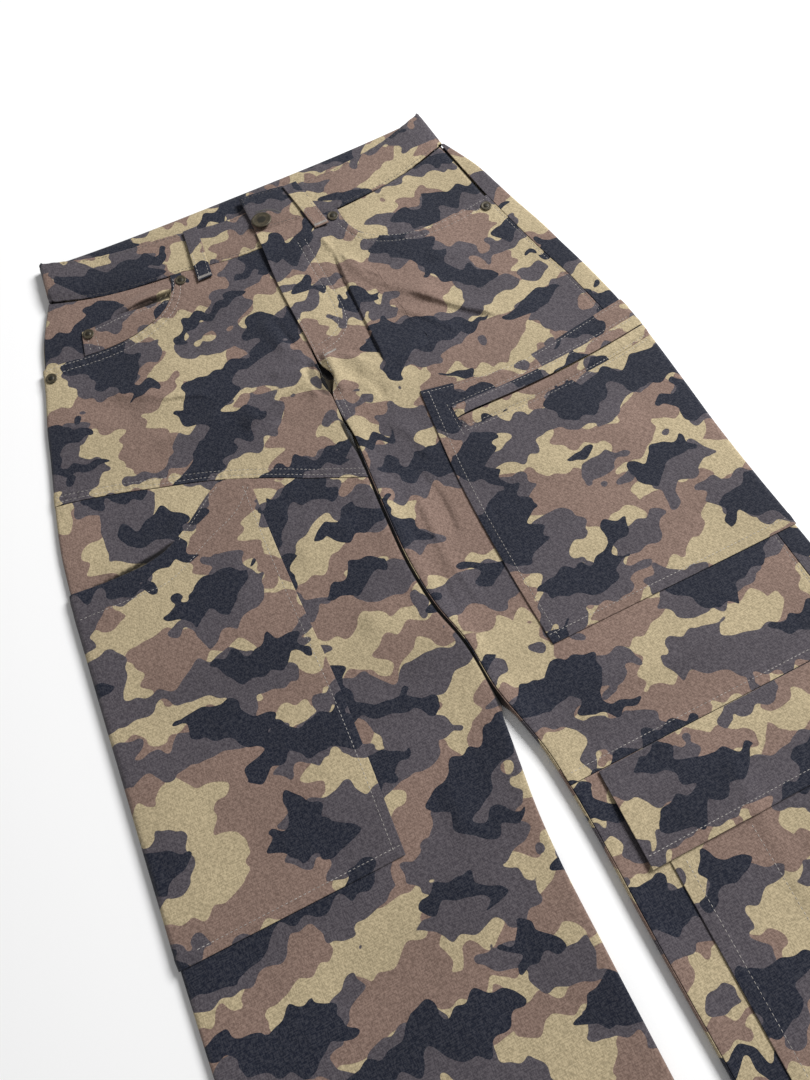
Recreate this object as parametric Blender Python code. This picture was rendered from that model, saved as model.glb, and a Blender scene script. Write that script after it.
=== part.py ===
"""Cargo trousers, laid flat face up on a level surface.

Frame: +X to the wearer's left, +Y towards the waist, +Z up.  The origin is at the
middle of the floor under the whole garment.

The garment is two flattened tubes that join above the crotch.  Every piece of cloth is
a wall read from the same form: a station round the tube, a height along the garment,
and a distance out of its outer face.  All sizes below are millimetres; heights along
the garment are measured from the waist seam at its ends, negative towards the hem.
"""
import math
from collections import namedtuple

import bmesh
import bpy
import numpy as np

MM = 0.001

# ---- Driving sizes ----------------------------------------------------------------
WALL = 1.2              # one layer of cloth
GAP = 0.3               # between neighbours
LEG_GAP = 1.4           # between the two legs where they lie side by side
PATCH_GAP = 0.4         # under a piece that lies on a panel
PATCH_STEP = WALL + PATCH_GAP
TURN = 3.1              # radius of the turned edges, outer face
REST = 4.6              # outer face of the front layer above the back's, mid panel
EDGE_EASE = 48.0        # width over which the front layer sinks from a turned edge
HEM_Y = -985.0
CROTCH_Y = -205.0
CROTCH_RUN = 36.0       # length over which the inner edges turn under

BAND_HIGH = 40.0
BAND_WALL = 2.5
BAND_HALF = 185.0
BAND_TOP_HALF = 181.5
BAND_TURN = 4.4
BAND_REST = 5.7         # outer face of the front band above the back band's
BAND_END_Y = 3.0        # lower edge of the band at its ends
FRONT_DIP = 22.0        # how far the band's lower edge drops at the front
BACK_DIP = 5.0
FLY_SHIFT = 7.0         # the closed band's left end sits higher, its right end lower
FLY_SHIFT_RUN = 75.0
BAND_LAP_LEFT_X = -1.5  # end of the wearer's left band, on top
BAND_LAP_RIGHT_X = 28.0
BAND_DROOP_X = -12.0    # where the right half of the band hangs lowest
BAND_LAP_STEP = BAND_WALL + 0.4
OVER_BAND_STEP = 3.2    # lift of the left front over the right band's end

BACK_LIFT = 1.9         # back layer over the back belt loops
BACK_LIFT_FROM = -74.0
BACK_LIFT_TO = -17.0

FLY_FOOT_Y = -140.0
FLY_UNDERLAP = 9.0      # the right front runs on this far under the fly
FLY_UNDERLAP_RUN = 20.0
FLY_WIDE = 12.0         # the fly lies level this far before it eases down
FLY_EASE = 38.0         # width over which the left front sinks from the fly
FLY_RISE_FROM = -162.0  # from here up it climbs onto the right front
FLY_RISE_RUN = 18.0
NEAR_BAND_Y = -62.0     # from here up it climbs over the right band's end
NEAR_BAND_RUN = 26.0
FRONT_WAIST_Y = -20.0   # about where the front panels meet the band

LOOP_WIDE = 13.0
LOOP_THICK = 1.3
BACK_LOOP_THICK = 1.6
LOOP_BELOW = 14.0       # length of a loop below the band

RIGHT, LEFT = -1, 1
RIGHT_SEAM_AT = 1.60     # right side seam: station on the turned edge
INSEAM_AT = {RIGHT: 0.70, LEFT: 0.14}    # inseam: share of the inner turned edge
STATION_GAP = 0.03                       # half a seam's gap, in stations of an edge

# Outer edges of the laid garment.  (height, half width on the right, on the left)
HALF_WIDTH = (
    (HEM_Y, 258.0, 258.0), (-850.0, 262.0, 262.0), (-740.0, 264.5, 264.5),
    (-640.0, 265.0, 265.0), (-581.0, 264.0, 264.5), (-519.0, 262.0, 262.5),
    (-446.0, 258.5, 257.5), (-398.0, 256.0, 252.5), (-341.0, 253.5, 248.5),
    (-300.0, 251.5, 247.5), (-248.0, 248.5, 245.5), (-214.0, 245.0, 243.0),
    (-175.0, 237.5, 237.0), (-135.0, 228.5, 228.5), (-109.0, 223.0, 223.0),
    (-83.0, 216.0, 216.0), (-55.0, 209.0, 209.0), (-32.0, 202.5, 202.5),
    (-14.0, 195.0, 195.0), (4.0, 187.0, 187.0),
)

# Centre seam above the crotch, then the inner edges of the two legs.
# (height, wearer's right leg, wearer's left leg)
INNER_EDGE = (
    (HEM_Y, -17.0, 23.0), (-714.0, -12.0, 18.0), (-619.0, -13.0, 15.5),
    (-561.0, -13.0, 15.0), (-528.0, -11.0, 13.5), (-497.0, -7.0, 10.5),
    (-470.0, -3.5, 4.5), (-447.0, -1.5, -0.5), (-405.0, -4.0, -4.0),
    (-378.0, -10.5, -10.5), (-340.0, -14.0, -14.0), (-293.0, -12.5, -12.5),
    (-247.0, -10.0, -10.0), (-205.0, -8.0, -8.0), (-139.0, -5.0, -5.0),
    (-61.0, -5.5, -5.5), (-20.0, -3.0, -3.0), (10.0, -2.0, -2.0),
)

# The wearer's left side seam lies on top, inside the turned edge.
# (height, x)
LEFT_SIDE_SEAM = (
    (HEM_Y, 241.0), (-700.0, 246.0), (-474.0, 242.0), (-436.0, 239.5), (-300.0, 232.0),
    (-209.0, 224.5), (-178.0, 219.0), (-131.0, 208.0), (-67.0, 195.0), (-30.0, 188.5),
    (4.0, 183.0),
)

# Seam across the wearer's right thigh.  (x, height)
THIGH_SEAM = (
    (-270.0, -175.0), (-239.0, -176.5), (-193.0, -186.0), (-158.0, -197.0),
    (-124.0, -208.0), (-94.0, -220.5), (-58.0, -238.0), (-13.0, -261.0), (0.0, -267.0),
)
KNEE_SEAM_Y = -526.0                     # seam across the wearer's left leg

# Slanted mouth of the wearer's right thigh pocket.  (x, height)
POCKET_MOUTH = (
    (-275.0, -247.0), (-250.0, -249.0), (-215.0, -251.5), (-169.0, -246.0),
    (-150.0, -235.0), (-127.0, -218.5), (-118.0, -213.5),
)
RIGHT_POCKET_FRONT = ((-519.0, -103.0), (-416.0, -97.5), (-287.0, -96.5), (-218.0, -94.0))
RIGHT_POCKET_FOOT = -517.0

LEFT_PATCH_TOP = (
    (57.0, -212.0), (94.0, -218.5), (150.0, -222.0), (201.0, -215.0), (250.0, -209.0),
)
LEFT_PATCH_FRONT = ((-438.0, 52.0), (-374.0, 49.5), (-302.0, 49.5), (-212.0, 57.0))
LEFT_PATCH_FOOT = -437.0
WELT_SLIT = ((74.0, -247.0), (150.0, -247.5), (215.0, -243.0), (250.0, -239.0))
WELT_HIGH = 11.0
WELT_START = 73.0

LEFT_POCKET = dict(inner=50.0, outer=202.0, top=-562.0, foot=-792.0, pleat=118.0)
LEFT_FLAP = dict(inner=36.5, outer=216.0, foot=-594.5)
PLEAT_RISE = 0.9
PLEAT_WIDE = 14.0

Scoop = namedtuple("Scoop", "start depth end_rise")
SCOOP = {RIGHT: Scoop(84.0, 46.0, 6.0), LEFT: Scoop(72.0, 56.0, 9.0)}
SCOOP_POWER = 3.0
FACING_TUCK = 9.0       # how far a facing runs on under the front panel
COIN_POCKET = dict(outer=0.835, top=-35.0, crown=2.0)  # outer: a station

Fold = namedtuple("Fold", "x0 y0 x1 y1 width rise")
FOLDS = (
    Fold(45, -34, 46, -165, 12.0, -1.4),        # hollow beside the fly
    Fold(56, -82, 150, -176, 12.0, 1.3),        # from the fly towards the side
    Fold(58, -112, 138, -196, 12.0, -1.1),
    Fold(-168, -120, -60, -150, 13.0, 1.2),     # across the right hip
    Fold(-150, -104, -90, -126, 10.0, -0.7),
    Fold(-110, -186, -14, -186, 13.0, -1.3),    # towards the crotch
    Fold(-120, -158, -20, -166, 11.0, 1.0),
    Fold(14, -176, 60, -205, 12.0, 1.1),
    Fold(12, -300, 26, -395, 9.0, 1.2),         # pinch at the left inner thigh
    Fold(-40, -290, -60, -420, 20.0, 0.9),
    Fold(-70, -560, -150, -600, 26.0, 1.0),
    Fold(-150, -660, -60, -720, 30.0, 1.0),
    Fold(-60, -810, -190, -850, 28.0, -1.0),
    Fold(60, -840, 190, -880, 28.0, 1.0),
)

Disc = namedtuple("Disc", "x y")
RIVETS = {
    "rivet_pocket_right_inner": Disc(-77.0, -26.0),
    "rivet_pocket_right_outer": Disc(-205.0, -67.5),
    "rivet_coin_pocket": Disc(-164.5, -41.0),
    "rivet_pocket_left_inner": Disc(65.0, -24.5),
    "rivet_pocket_left_outer": Disc(188.5, -75.0),
}
RIVET_RADIUS = 4.7
BUTTON = Disc(7.5, -4.0)
BUTTON_RADIUS = 8.8

# Turned profiles, from the rim's foot to the middle of the top: (share of the
# radius, height over the cloth).
RIVET_PROFILE = ((0.86, 0.0), (1.0, 0.4), (0.9, 0.9), (0.55, 0.8), (0.3, 1.5))
BUTTON_PROFILE = ((0.45, 0.0), (0.5, 1.2), (0.93, 1.5), (1.0, 2.1), (0.95, 2.75),
                  (0.82, 3.0), (0.7, 2.55), (0.3, 2.45))

# (linear red, green, blue, roughness, metallic)
CLOTH = (0.30, 0.25, 0.17, 0.85, 0.0)
CLOTH_DARK = (0.14, 0.11, 0.10, 0.85, 0.0)
BRASS = (0.20, 0.17, 0.10, 0.42, 0.9)

TOP_Y = BAND_END_Y + BAND_HIGH
MIDDLE_Y = (TOP_Y + HEM_Y) / 2


# ---- The form ---------------------------------------------------------------------
def smooth_step(t):
    """0 below 0, 1 above 1, an S between."""
    t = np.clip(t, 0.0, 1.0)
    return t * t * (3.0 - 2.0 * t)


def read_table(rows, at, column=1):
    """A table's column at any place: a cubic through its rows, level past its ends."""
    table = np.array(rows, float)
    place, value = table[:, 0], table[:, column]
    slope = np.gradient(value, place)
    at = np.asarray(at, float)
    i = np.clip(np.searchsorted(place, at) - 1, 0, len(place) - 2)
    run = place[i + 1] - place[i]
    t = np.clip((at - place[i]) / run, 0.0, 1.0)
    return ((2 * t**3 - 3 * t**2 + 1) * value[i] + (t**3 - 2 * t**2 + t) * run * slope[i]
            + (3 * t**2 - 2 * t**3) * value[i + 1] + (t**3 - t**2) * run * slope[i + 1])


def outer_turn_x(side, y):
    """Where the laid layers meet the outer turned edge."""
    return read_table(HALF_WIDTH, y, 1 if side == RIGHT else 2) - TURN


def inner_turn_x(side, y):
    """Where they meet the inner one, or the last stretch before the centre seam."""
    column = 1 if side == RIGHT else 2
    apart = GAP + (LEG_GAP - GAP) * leg_share(y)
    return side * read_table(INNER_EDGE, y, column) + apart / 2 + TURN


def leg_share(y):
    """0 above the crotch, 1 where the inner edges are fully turned."""
    return smooth_step((CROTCH_Y - np.asarray(y)) / CROTCH_RUN)


def waist_lift(y):
    """Rise of the back layer near the waist, over the back belt loops."""
    return BACK_LIFT * smooth_step((y - BACK_LIFT_FROM) / (BACK_LIFT_TO - BACK_LIFT_FROM))


def fold_rise(x, y):
    """Sum of the folds: a bell across each line, eased to nothing at its ends."""
    rise = np.zeros(np.broadcast(x, y).shape)
    for fold in FOLDS:
        run_x, run_y = fold.x1 - fold.x0, fold.y1 - fold.y0
        length = math.hypot(run_x, run_y)
        along = ((x - fold.x0) * run_x + (y - fold.y0) * run_y) / length**2
        across = ((x - fold.x0) * run_y - (y - fold.y0) * run_x) / length
        ends = smooth_step(along / 0.3) * smooth_step((1 - along) / 0.3)
        rise = rise + fold.rise * ends * np.exp(-(across / fold.width) ** 2)
    return np.clip(rise, -1.5, 1.5)


def fly_lift(side, x, y):
    """The wearer's left front lies over the right one down the fly."""
    if side == RIGHT:
        return 0.0 * x
    beside = 1 - smooth_step((x - inner_turn_x(side, y) - FLY_WIDE) / FLY_EASE)
    fly = PATCH_STEP * beside * smooth_step((y - FLY_RISE_FROM) / FLY_RISE_RUN)
    past_end = (x - BAND_LAP_RIGHT_X - FLY_WIDE / 2) / FLY_EASE
    over_band = OVER_BAND_STEP * (1 - smooth_step(past_end))
    near = smooth_step((y - NEAR_BAND_Y) / NEAR_BAND_RUN)
    return fly * (1 - near) + over_band * near


def front_height(side, x, y):
    """Outer face of the front layer: level, raised to the turned edges, with folds."""
    outer = smooth_step(1 - (outer_turn_x(side, y) - x) / EDGE_EASE)
    inner = leg_share(y) * smooth_step(1 - (x - inner_turn_x(side, y)) / EDGE_EASE)
    edge = 1 - (1 - outer) * (1 - inner)
    laid = REST + (2 * TURN - REST) * edge + (1 - edge) * fold_rise(side * x, y)
    return laid + fly_lift(side, x, y) + waist_lift(y)


def on_form(side, station, y, out):
    """A point of the garment's loop, moved out of its outer face by `out`.

    Stations: -1 to 0 is the inner turned edge from the back up to the front, 0 to 1
    the front layer, 1 to 2 the outer turned edge, 2 to 3 the back layer, 3 to 4 the
    inner edge again.  Above the crotch the inner edge is opened out flat.
    """
    station, y, out = np.broadcast_arrays(*(np.asarray(a, float) for a in (station, y, out)))
    x_out, x_in, floor = outer_turn_x(side, y), inner_turn_x(side, y), waist_lift(y)
    laid = x_in + np.clip(station, 0, 1) * (x_out - x_in)
    under = x_out + np.clip(station - 2, 0, 1) * (x_in - x_out)
    x_front, z_front = laid, front_height(side, laid, y) + out
    x_back, z_back = under, floor - out
    turn = np.clip(station - 1, 0, 1) * math.pi
    x_edge = x_out + (TURN + out) * np.sin(turn)
    z_edge = floor + TURN + (TURN + out) * np.cos(turn)
    # inner turned edge, an ellipse as high as the layers there
    half = (front_height(side, x_in, y) - floor) / 2
    angle = np.where(station < 0, -station, 4 - station) * math.pi
    x_leg = x_in - (TURN + out) * np.sin(angle)
    z_leg = floor + half + (half + out) * np.cos(angle)
    # the same stretch opened out above the crotch
    share = np.where(station < 0, -station / INSEAM_AT[side],
                     (station - 3) / (1 - INSEAM_AT[side]))
    x_hip = x_in - TURN * share
    z_hip = np.where(station < 0, front_height(side, x_hip, y) + out, floor - out)
    legs = leg_share(y)
    inner = (station < 0) | (station > 3)
    x = np.where(station <= 1, x_front, np.where(station < 2, x_edge, x_back))
    z = np.where(station <= 1, z_front, np.where(station < 2, z_edge, z_back))
    x = np.where(inner, legs * x_leg + (1 - legs) * x_hip, x)
    z = np.where(inner, legs * z_leg + (1 - legs) * z_hip, z)
    return np.stack([side * x, y, z], axis=-1)


def station_of(side, x, y):
    """The front layer's station at a distance x from the middle line."""
    x_in = inner_turn_x(side, y)
    return (x - x_in) / (outer_turn_x(side, y) - x_in)


def side_seam(side, y):
    """Station of the side seam."""
    if side == RIGHT:
        return RIGHT_SEAM_AT + 0.0 * y
    return np.minimum(station_of(side, read_table(LEFT_SIDE_SEAM, y), y), 1.0)


def band_foot(x, dip=FRONT_DIP):
    """Lower edge of the waistband: lowest in the middle, by a cubic."""
    return BAND_END_Y - dip * (1 - np.clip(np.abs(x) / BAND_HALF, 0, 1) ** 3)


def front_foot(side, x):
    """The same on the front, where the two ends don't quite meet at the fly."""
    start = BAND_LAP_LEFT_X if side == LEFT else BAND_DROOP_X
    beside = smooth_step(1 - (side * x - side * start) / FLY_SHIFT_RUN)
    return band_foot(x) + side * FLY_SHIFT * beside


def scoop_y(side, station):
    """Edge of the front pocket's mouth: a rounded quarter from the band to the side."""
    scoop = SCOOP[side]
    share = np.clip((1 - station) / (1 - mouth_start(side)), 0, 1)
    drop = scoop.depth * (1 - share**SCOOP_POWER) ** (1 / SCOOP_POWER)
    drop = drop - scoop.end_rise * smooth_step(1 - share * 1.5)
    return float(front_foot(side, side * scoop.start)) - GAP - drop


# ---- Making meshes ----------------------------------------------------------------
def material(name, finish):
    """A plain finish: colour, roughness and metallic value."""
    found = bpy.data.materials.get(name)
    if found:
        return found
    made = bpy.data.materials.new(name)
    made.use_nodes = True
    shader = made.node_tree.nodes["Principled BSDF"]
    shader.inputs["Base Color"].default_value = (*finish[:3], 1.0)
    shader.inputs["Roughness"].default_value = finish[3]
    shader.inputs["Metallic"].default_value = finish[4]
    return made


def mesh_object(name, points, faces, finish, finish_name):
    """One named object from points in millimetres; its faces are turned outwards."""
    placed = (np.asarray(points, float) - (0.0, MIDDLE_Y, 0.0)) * MM
    mesh = bpy.data.meshes.new(name)
    mesh.from_pydata(placed.tolist(), [], faces)
    shape = bmesh.new()
    shape.from_mesh(mesh)
    bmesh.ops.recalc_face_normals(shape, faces=shape.faces)
    shape.to_mesh(mesh)
    shape.free()
    mesh.shade_smooth()
    mesh.set_sharp_from_angle(angle=math.radians(40))
    mesh.materials.append(material(finish_name, finish))
    made = bpy.data.objects.new(name, mesh)
    bpy.context.scene.collection.objects.link(made)
    return made


def wall(name, outer, inner, finish=CLOTH, finish_name="cloth"):
    """A closed wall between two grids of points, joined round their borders."""
    rows, columns = outer.shape[:2]
    index = np.arange(rows * columns).reshape(rows, columns)
    back = index + rows * columns
    faces = []
    for grid in (index, back):
        faces += np.stack([grid[:-1, :-1], grid[1:, :-1], grid[1:, 1:], grid[:-1, 1:]],
                          axis=-1).reshape(-1, 4).tolist()
    border = np.concatenate([index[0, :-1], index[:-1, -1], index[-1, :0:-1],
                             index[:0:-1, 0]])
    behind = border + rows * columns
    faces += np.stack([border, np.roll(border, -1), np.roll(behind, -1), behind],
                      axis=-1).tolist()
    points = np.concatenate([outer.reshape(-1, 3), inner.reshape(-1, 3)])
    return mesh_object(name, points, faces, finish, finish_name)


def settle(side, stations, curve, y_start):
    """Heights where each column meets a border given as a function of x."""
    y = np.full(len(stations(y_start)), float(y_start))
    for _ in range(6):
        x = on_form(side, stations(y), y, 0.0)[:, 0]
        y = curve(x)
    return y


def panel(name, side, stations, top, bottom, rows, level=0.0, rise=None, **finish):
    """A panel: columns of stations, rows shared out between two borders.

    `top` and `bottom` are heights, one for each column; `rows` are shares from the
    top down; `level` moves the wall's outer face out of the form; `rise(x, y)` adds
    relief to it.
    """
    down = np.asarray(rows)[:, None]
    y = top[None, :] * (1 - down) + bottom[None, :] * down
    at = stations(y)
    relief = 0.0
    if rise is not None:
        flat = on_form(side, at, y, level)
        relief = rise(flat[..., 0], flat[..., 1])
    outer = on_form(side, at, y, level + relief)
    inner = on_form(side, at, y, level + relief - WALL)
    return wall(name, outer, inner, **finish)


def columns_over(flat, inner_turn=(), outer_turn=(), stop=None):
    """Stations as a function of height: turned edges as given, the flat part stretched
    from 0 to `stop(y)`, or to 1."""
    flat = np.asarray(flat, float)

    def stations(y):
        y = np.asarray(y, float)
        end = stop(y) if stop else 1.0 + 0.0 * y
        if y.ndim == 0:
            return np.concatenate([inner_turn, flat * end, outer_turn])
        whole = np.concatenate([inner_turn, flat, outer_turn])
        laid = slice(len(inner_turn), len(inner_turn) + len(flat))
        at = np.broadcast_to(whole, y.shape).copy()
        at[..., laid] = whole[laid] * end[..., laid]
        return at

    return stations


def columns_at(side, places):
    """Stations of upright lines at the given distances from the middle line."""
    return lambda y: station_of(side, np.asarray(places), np.asarray(y, float))


def columns_between(side, start, stop, count, outer_turn=()):
    """Stations from a line x = start(y) to x = stop(y), or to the turned edge."""
    shares = np.linspace(0, 1, count)

    def stations(y):
        y = np.asarray(y, float)
        if y.ndim == 0:
            y = np.full(count + len(outer_turn), float(y))
        flat_y = y[..., :count]
        first = station_of(side, start(flat_y), flat_y)
        last = station_of(side, stop(flat_y), flat_y) if stop else 1.0
        laid = first + (last - first) * shares
        turned = np.broadcast_to(outer_turn, y.shape[:-1] + (len(outer_turn),))
        return np.concatenate([laid, turned], axis=-1)

    return stations


# ---- Panels -----------------------------------------------------------------------
RIGHT_INNER = (-INSEAM_AT[RIGHT] + STATION_GAP, -0.5, -0.33, -0.16)
RIGHT_OUTER = (1.14, 1.29, 1.44, RIGHT_SEAM_AT - STATION_GAP)
LEFT_INNER = (-INSEAM_AT[LEFT] + STATION_GAP,)
MOUTH_TUCK = 0.045                       # a facing's start before the mouth, in stations
LEAST_ON_TOP = 0.004                     # least of the front layer left to the back panel


def mouth_start(side):
    """Station where the front pocket's mouth leaves the band."""
    return station_of(side, SCOOP[side].start, FRONT_WAIST_Y)


def front_shares(side):
    """Stations across the front layer, closest together where the mouth is steep."""
    start = mouth_start(side)
    bend = 1 - np.cos(np.linspace(0, math.pi / 2, 10))
    return np.concatenate([np.linspace(0, start - MOUTH_TUCK, 6),
                           start + (1 - start) * bend])


SHARES = {side: front_shares(side) for side in (RIGHT, LEFT)}


def seam_stop(side, gap):
    """The front layer's end at the side seam, a gap short of it."""
    return lambda y: side_seam(side, y) - gap / (outer_turn_x(side, y) - inner_turn_x(side, y))


def front_columns(side, flat=None):
    """Columns of a front panel, from the centre seam or inseam to the side seam."""
    flat = SHARES[side] if flat is None else flat
    if side == RIGHT:
        return columns_over(flat, RIGHT_INNER, RIGHT_OUTER)
    return columns_over(flat, LEFT_INNER, (), seam_stop(LEFT, GAP / 2))


def front_top(side, stations):
    """Upper border of a front panel: under the band, then the pocket's mouth."""
    waist = settle(side, stations, lambda x: front_foot(side, x) - GAP, 0.0)
    at = stations(waist)
    return np.where(at > mouth_start(side), np.minimum(waist, scoop_y(side, at)), waist)


def spread(count, power=1.0):
    """Shares from 0 to 1, closer together at 0 where power is over 1."""
    return np.linspace(0, 1, count) ** power


ROWS_UPPER = {RIGHT: spread(13), LEFT: spread(20)}
ROWS_LEG = {RIGHT: spread(17, 1.4), LEFT: spread(9)}


def front_right_edge_columns():
    """Columns of the upper right front, whose inner border runs on under the fly."""
    plain = front_columns(RIGHT)

    def stations(y):
        at = plain(y)
        y = np.broadcast_to(np.asarray(y, float), at.shape)
        lap = FLY_UNDERLAP * smooth_step((y - FLY_FOOT_Y) / FLY_UNDERLAP_RUN)
        first = len(RIGHT_INNER)
        turned = at[..., :first] * (1 + lap[..., :first] / TURN)
        return np.concatenate([turned, at[..., first:]], axis=-1)

    return stations


def front_borders(side):
    """Columns, upper border and the seam across the leg, of a side's front panels."""
    columns = front_right_edge_columns() if side == RIGHT else front_columns(LEFT)
    top = front_top(side, columns)
    if side == RIGHT:
        seam = settle(RIGHT, columns, lambda x: read_table(THIGH_SEAM, x), -200.0)
    else:
        seam = np.full(len(top), KNEE_SEAM_Y)
    return columns, top, seam


def make_fronts():
    """The four front panels: an upper and a leg on each side."""
    for side, word in ((RIGHT, "right"), (LEFT, "left")):
        columns, top, seam = front_borders(side)
        hem = np.full(len(seam), HEM_Y)
        panel(f"front_{word}_upper", side, columns, top, seam + GAP / 2, ROWS_UPPER[side])
        panel(f"front_{word}_leg", side, front_columns(side), seam - GAP / 2, hem,
              ROWS_LEG[side])


def make_backs():
    """The two back panels: the floor layer, carried round both turned edges.

    Their rows meet the front panels' rows at both seams, so that the two walls bend
    together along a seam.
    """
    for side, name in ((RIGHT, "back_right"), (LEFT, "back_left")):
        columns, top, seam = front_borders(side)
        last = 4 - INSEAM_AT[side] - STATION_GAP
        if side == RIGHT:
            onto_front = np.array([])
            edge = np.array([RIGHT_SEAM_AT + STATION_GAP, 1.8, 2.0])
            inner = np.linspace(3, last, 4)[1:]
        else:
            onto_front = np.array([0.0, 0.5])
            edge = np.linspace(1, 2, 6)
            inner = np.linspace(3, last, 6)[1:]
        floor = np.array([2.14, 2.34, 2.62, 3.0])   # closest where the waist curves
        fixed = np.concatenate([edge, floor, inner])
        count = len(onto_front) + len(fixed)

        def stations(y, onto_front=onto_front, fixed=fixed, count=count):
            y = np.broadcast_to(np.asarray(y, float), np.shape(y)[:-1] + (count,))
            seam_y = y[..., :1]
            start = side_seam(LEFT, seam_y) + GAP / 2 / (
                outer_turn_x(LEFT, seam_y) - inner_turn_x(LEFT, seam_y))
            start = np.minimum(start, 1 - LEAST_ON_TOP)
            laid = start + (1 - start) * onto_front
            return np.concatenate(
                [laid, np.broadcast_to(fixed, y.shape[:-1] + (len(fixed),))], axis=-1)

        def rows_at(column, waist):
            """Heights down one seam: waist, then the front panels' own rows."""
            upper = top[column] + (seam[column] - top[column]) * ROWS_UPPER[side]
            leg = seam[column] + (HEM_Y - seam[column]) * ROWS_LEG[side]
            above = waist + (top[column] - waist) * np.array([0.0, 0.3, 0.6])
            return np.concatenate([above, upper, leg[1:]])

        outer_rows = rows_at(-1, BAND_END_Y - GAP)
        inner_rows = rows_at(0, float(band_foot(0.0, BACK_DIP)) - GAP)
        ease = np.clip((stations(np.zeros(count)) - 2.0), 0, 1)[None, :]
        y = outer_rows[:, None] * (1 - ease) + inner_rows[:, None] * ease
        x = on_form(side, stations(y[0]), y[0], 0.0)[:, 0]
        waist = np.where(ease[0] > 0, band_foot(x, BACK_DIP), BAND_END_Y) - GAP
        y[:3] += np.array([[1.0], [0.7], [0.4]]) * (waist - y[0])
        at = stations(y)
        wall(name, on_form(side, at, y, 0.0), on_form(side, at, y, -WALL),
             CLOTH_DARK, "cloth_dark")


def make_facings():
    """Pocket facings under the scooped mouths, and the coin pocket on the right one."""
    for side, name in ((RIGHT, "pocket_facing_right"), (LEFT, "pocket_facing_left")):
        flat = SHARES[side][SHARES[side] > mouth_start(side) - MOUTH_TUCK - 0.001]
        if side == RIGHT:
            stations = columns_over(flat, (), RIGHT_OUTER)
        else:
            stations = columns_over(flat, (), (), seam_stop(LEFT, GAP / 2))
        top = settle(side, stations, lambda x, side=side: front_foot(side, x) - GAP, 0.0)
        edge = scoop_y(side, np.clip(stations(top), 0, 1))
        panel(name, side, stations, top, edge - FACING_TUCK, spread(7),
              level=-WALL - GAP)

    shares = SHARES[RIGHT]
    deep = scoop_y(RIGHT, shares) < COIN_POCKET["top"] - 4.0
    flat = np.append(shares[deep & (shares < COIN_POCKET["outer"])],
                     COIN_POCKET["outer"])
    count = len(flat)
    share = np.linspace(0, 1, count)
    top = COIN_POCKET["top"] + COIN_POCKET["crown"] * np.sin(math.pi * share)
    panel("coin_pocket", RIGHT, columns_over(flat), top, scoop_y(RIGHT, flat) + 0.8,
          spread(4), level=PATCH_GAP - GAP, finish=CLOTH_DARK, finish_name="cloth_dark")


def make_thigh_pockets():
    """The wearer's right patch pocket and the left patch with its double welt."""
    turned = (1.14, 1.29, 1.44)
    columns = columns_between(
        RIGHT, lambda y: -read_table(RIGHT_POCKET_FRONT, y), None, 11, turned)
    mouth = settle(RIGHT, columns, lambda x: read_table(POCKET_MOUTH, x), -240.0)
    seam = settle(RIGHT, columns, lambda x: read_table(THIGH_SEAM, x), -220.0)
    panel("cargo_pocket_right", RIGHT, columns, np.minimum(mouth, seam - GAP),
          np.full(len(mouth), RIGHT_POCKET_FOOT), spread(9), level=PATCH_STEP,
          finish=CLOTH_DARK, finish_name="cloth_dark")

    columns = columns_between(
        LEFT, lambda y: read_table(LEFT_PATCH_FRONT, y), None, 11, turned[:2])
    top = settle(LEFT, columns, lambda x: read_table(LEFT_PATCH_TOP, x), -215.0)
    panel("thigh_patch_left", LEFT, columns, top, np.full(len(top), LEFT_PATCH_FOOT),
          spread(9), level=PATCH_STEP, finish=CLOTH_DARK, finish_name="cloth_dark")

    columns = columns_between(LEFT, lambda y: WELT_START + 0 * y, None, 10, turned[:1])
    slit = settle(LEFT, columns, lambda x: read_table(WELT_SLIT, x), -245.0)
    for name, upper, lower in (("welt_upper_left", WELT_HIGH, GAP / 2),
                               ("welt_lower_left", -GAP / 2, -WELT_HIGH)):
        panel(name, LEFT, columns, slit + upper, slit + lower, spread(3),
              level=2 * PATCH_STEP)


def pleat_rise(x, y):
    """The lower pocket's pleat: a low welt down its middle."""
    return PLEAT_RISE * np.exp(-((x - LEFT_POCKET["pleat"]) / (PLEAT_WIDE / 2)) ** 2)


def make_lower_pocket():
    """The wearer's left lower pocket with its pleat, and the flap over its mouth."""
    pleat = LEFT_POCKET["pleat"] + PLEAT_WIDE * np.array([-1.1, -0.7, -0.35, 0, 0.35, 0.7, 1.1])
    places = np.concatenate([
        np.linspace(LEFT_POCKET["inner"], pleat[0], 4)[:-1], pleat,
        np.linspace(pleat[-1], LEFT_POCKET["outer"], 4)[1:]])
    count = len(places)
    panel("cargo_pocket_left", LEFT, columns_at(LEFT, places),
          np.full(count, LEFT_POCKET["top"]), np.full(count, LEFT_POCKET["foot"]),
          spread(7), level=PATCH_STEP, rise=pleat_rise, finish=CLOTH_DARK,
          finish_name="cloth_dark")

    def over_pocket(x, y):
        """Lies on the leg at its seam, then climbs over the pocket."""
        climb = smooth_step((KNEE_SEAM_Y - 8.0 - y) / 22.0)
        return PATCH_STEP * climb + pleat_rise(x, y) * smooth_step((-552.0 - y) / 8.0)

    places = np.concatenate([[LEFT_FLAP["inner"]], places, [LEFT_FLAP["outer"]]])
    count = len(places)
    shares = np.array([0, 0.14, 0.3, 0.46, 0.6, 0.8, 1.0])
    panel("cargo_flap_left", LEFT, columns_at(LEFT, places),
          np.full(count, KNEE_SEAM_Y - GAP), np.full(count, LEFT_FLAP["foot"]), shares,
          level=PATCH_STEP, rise=over_pocket)


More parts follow.
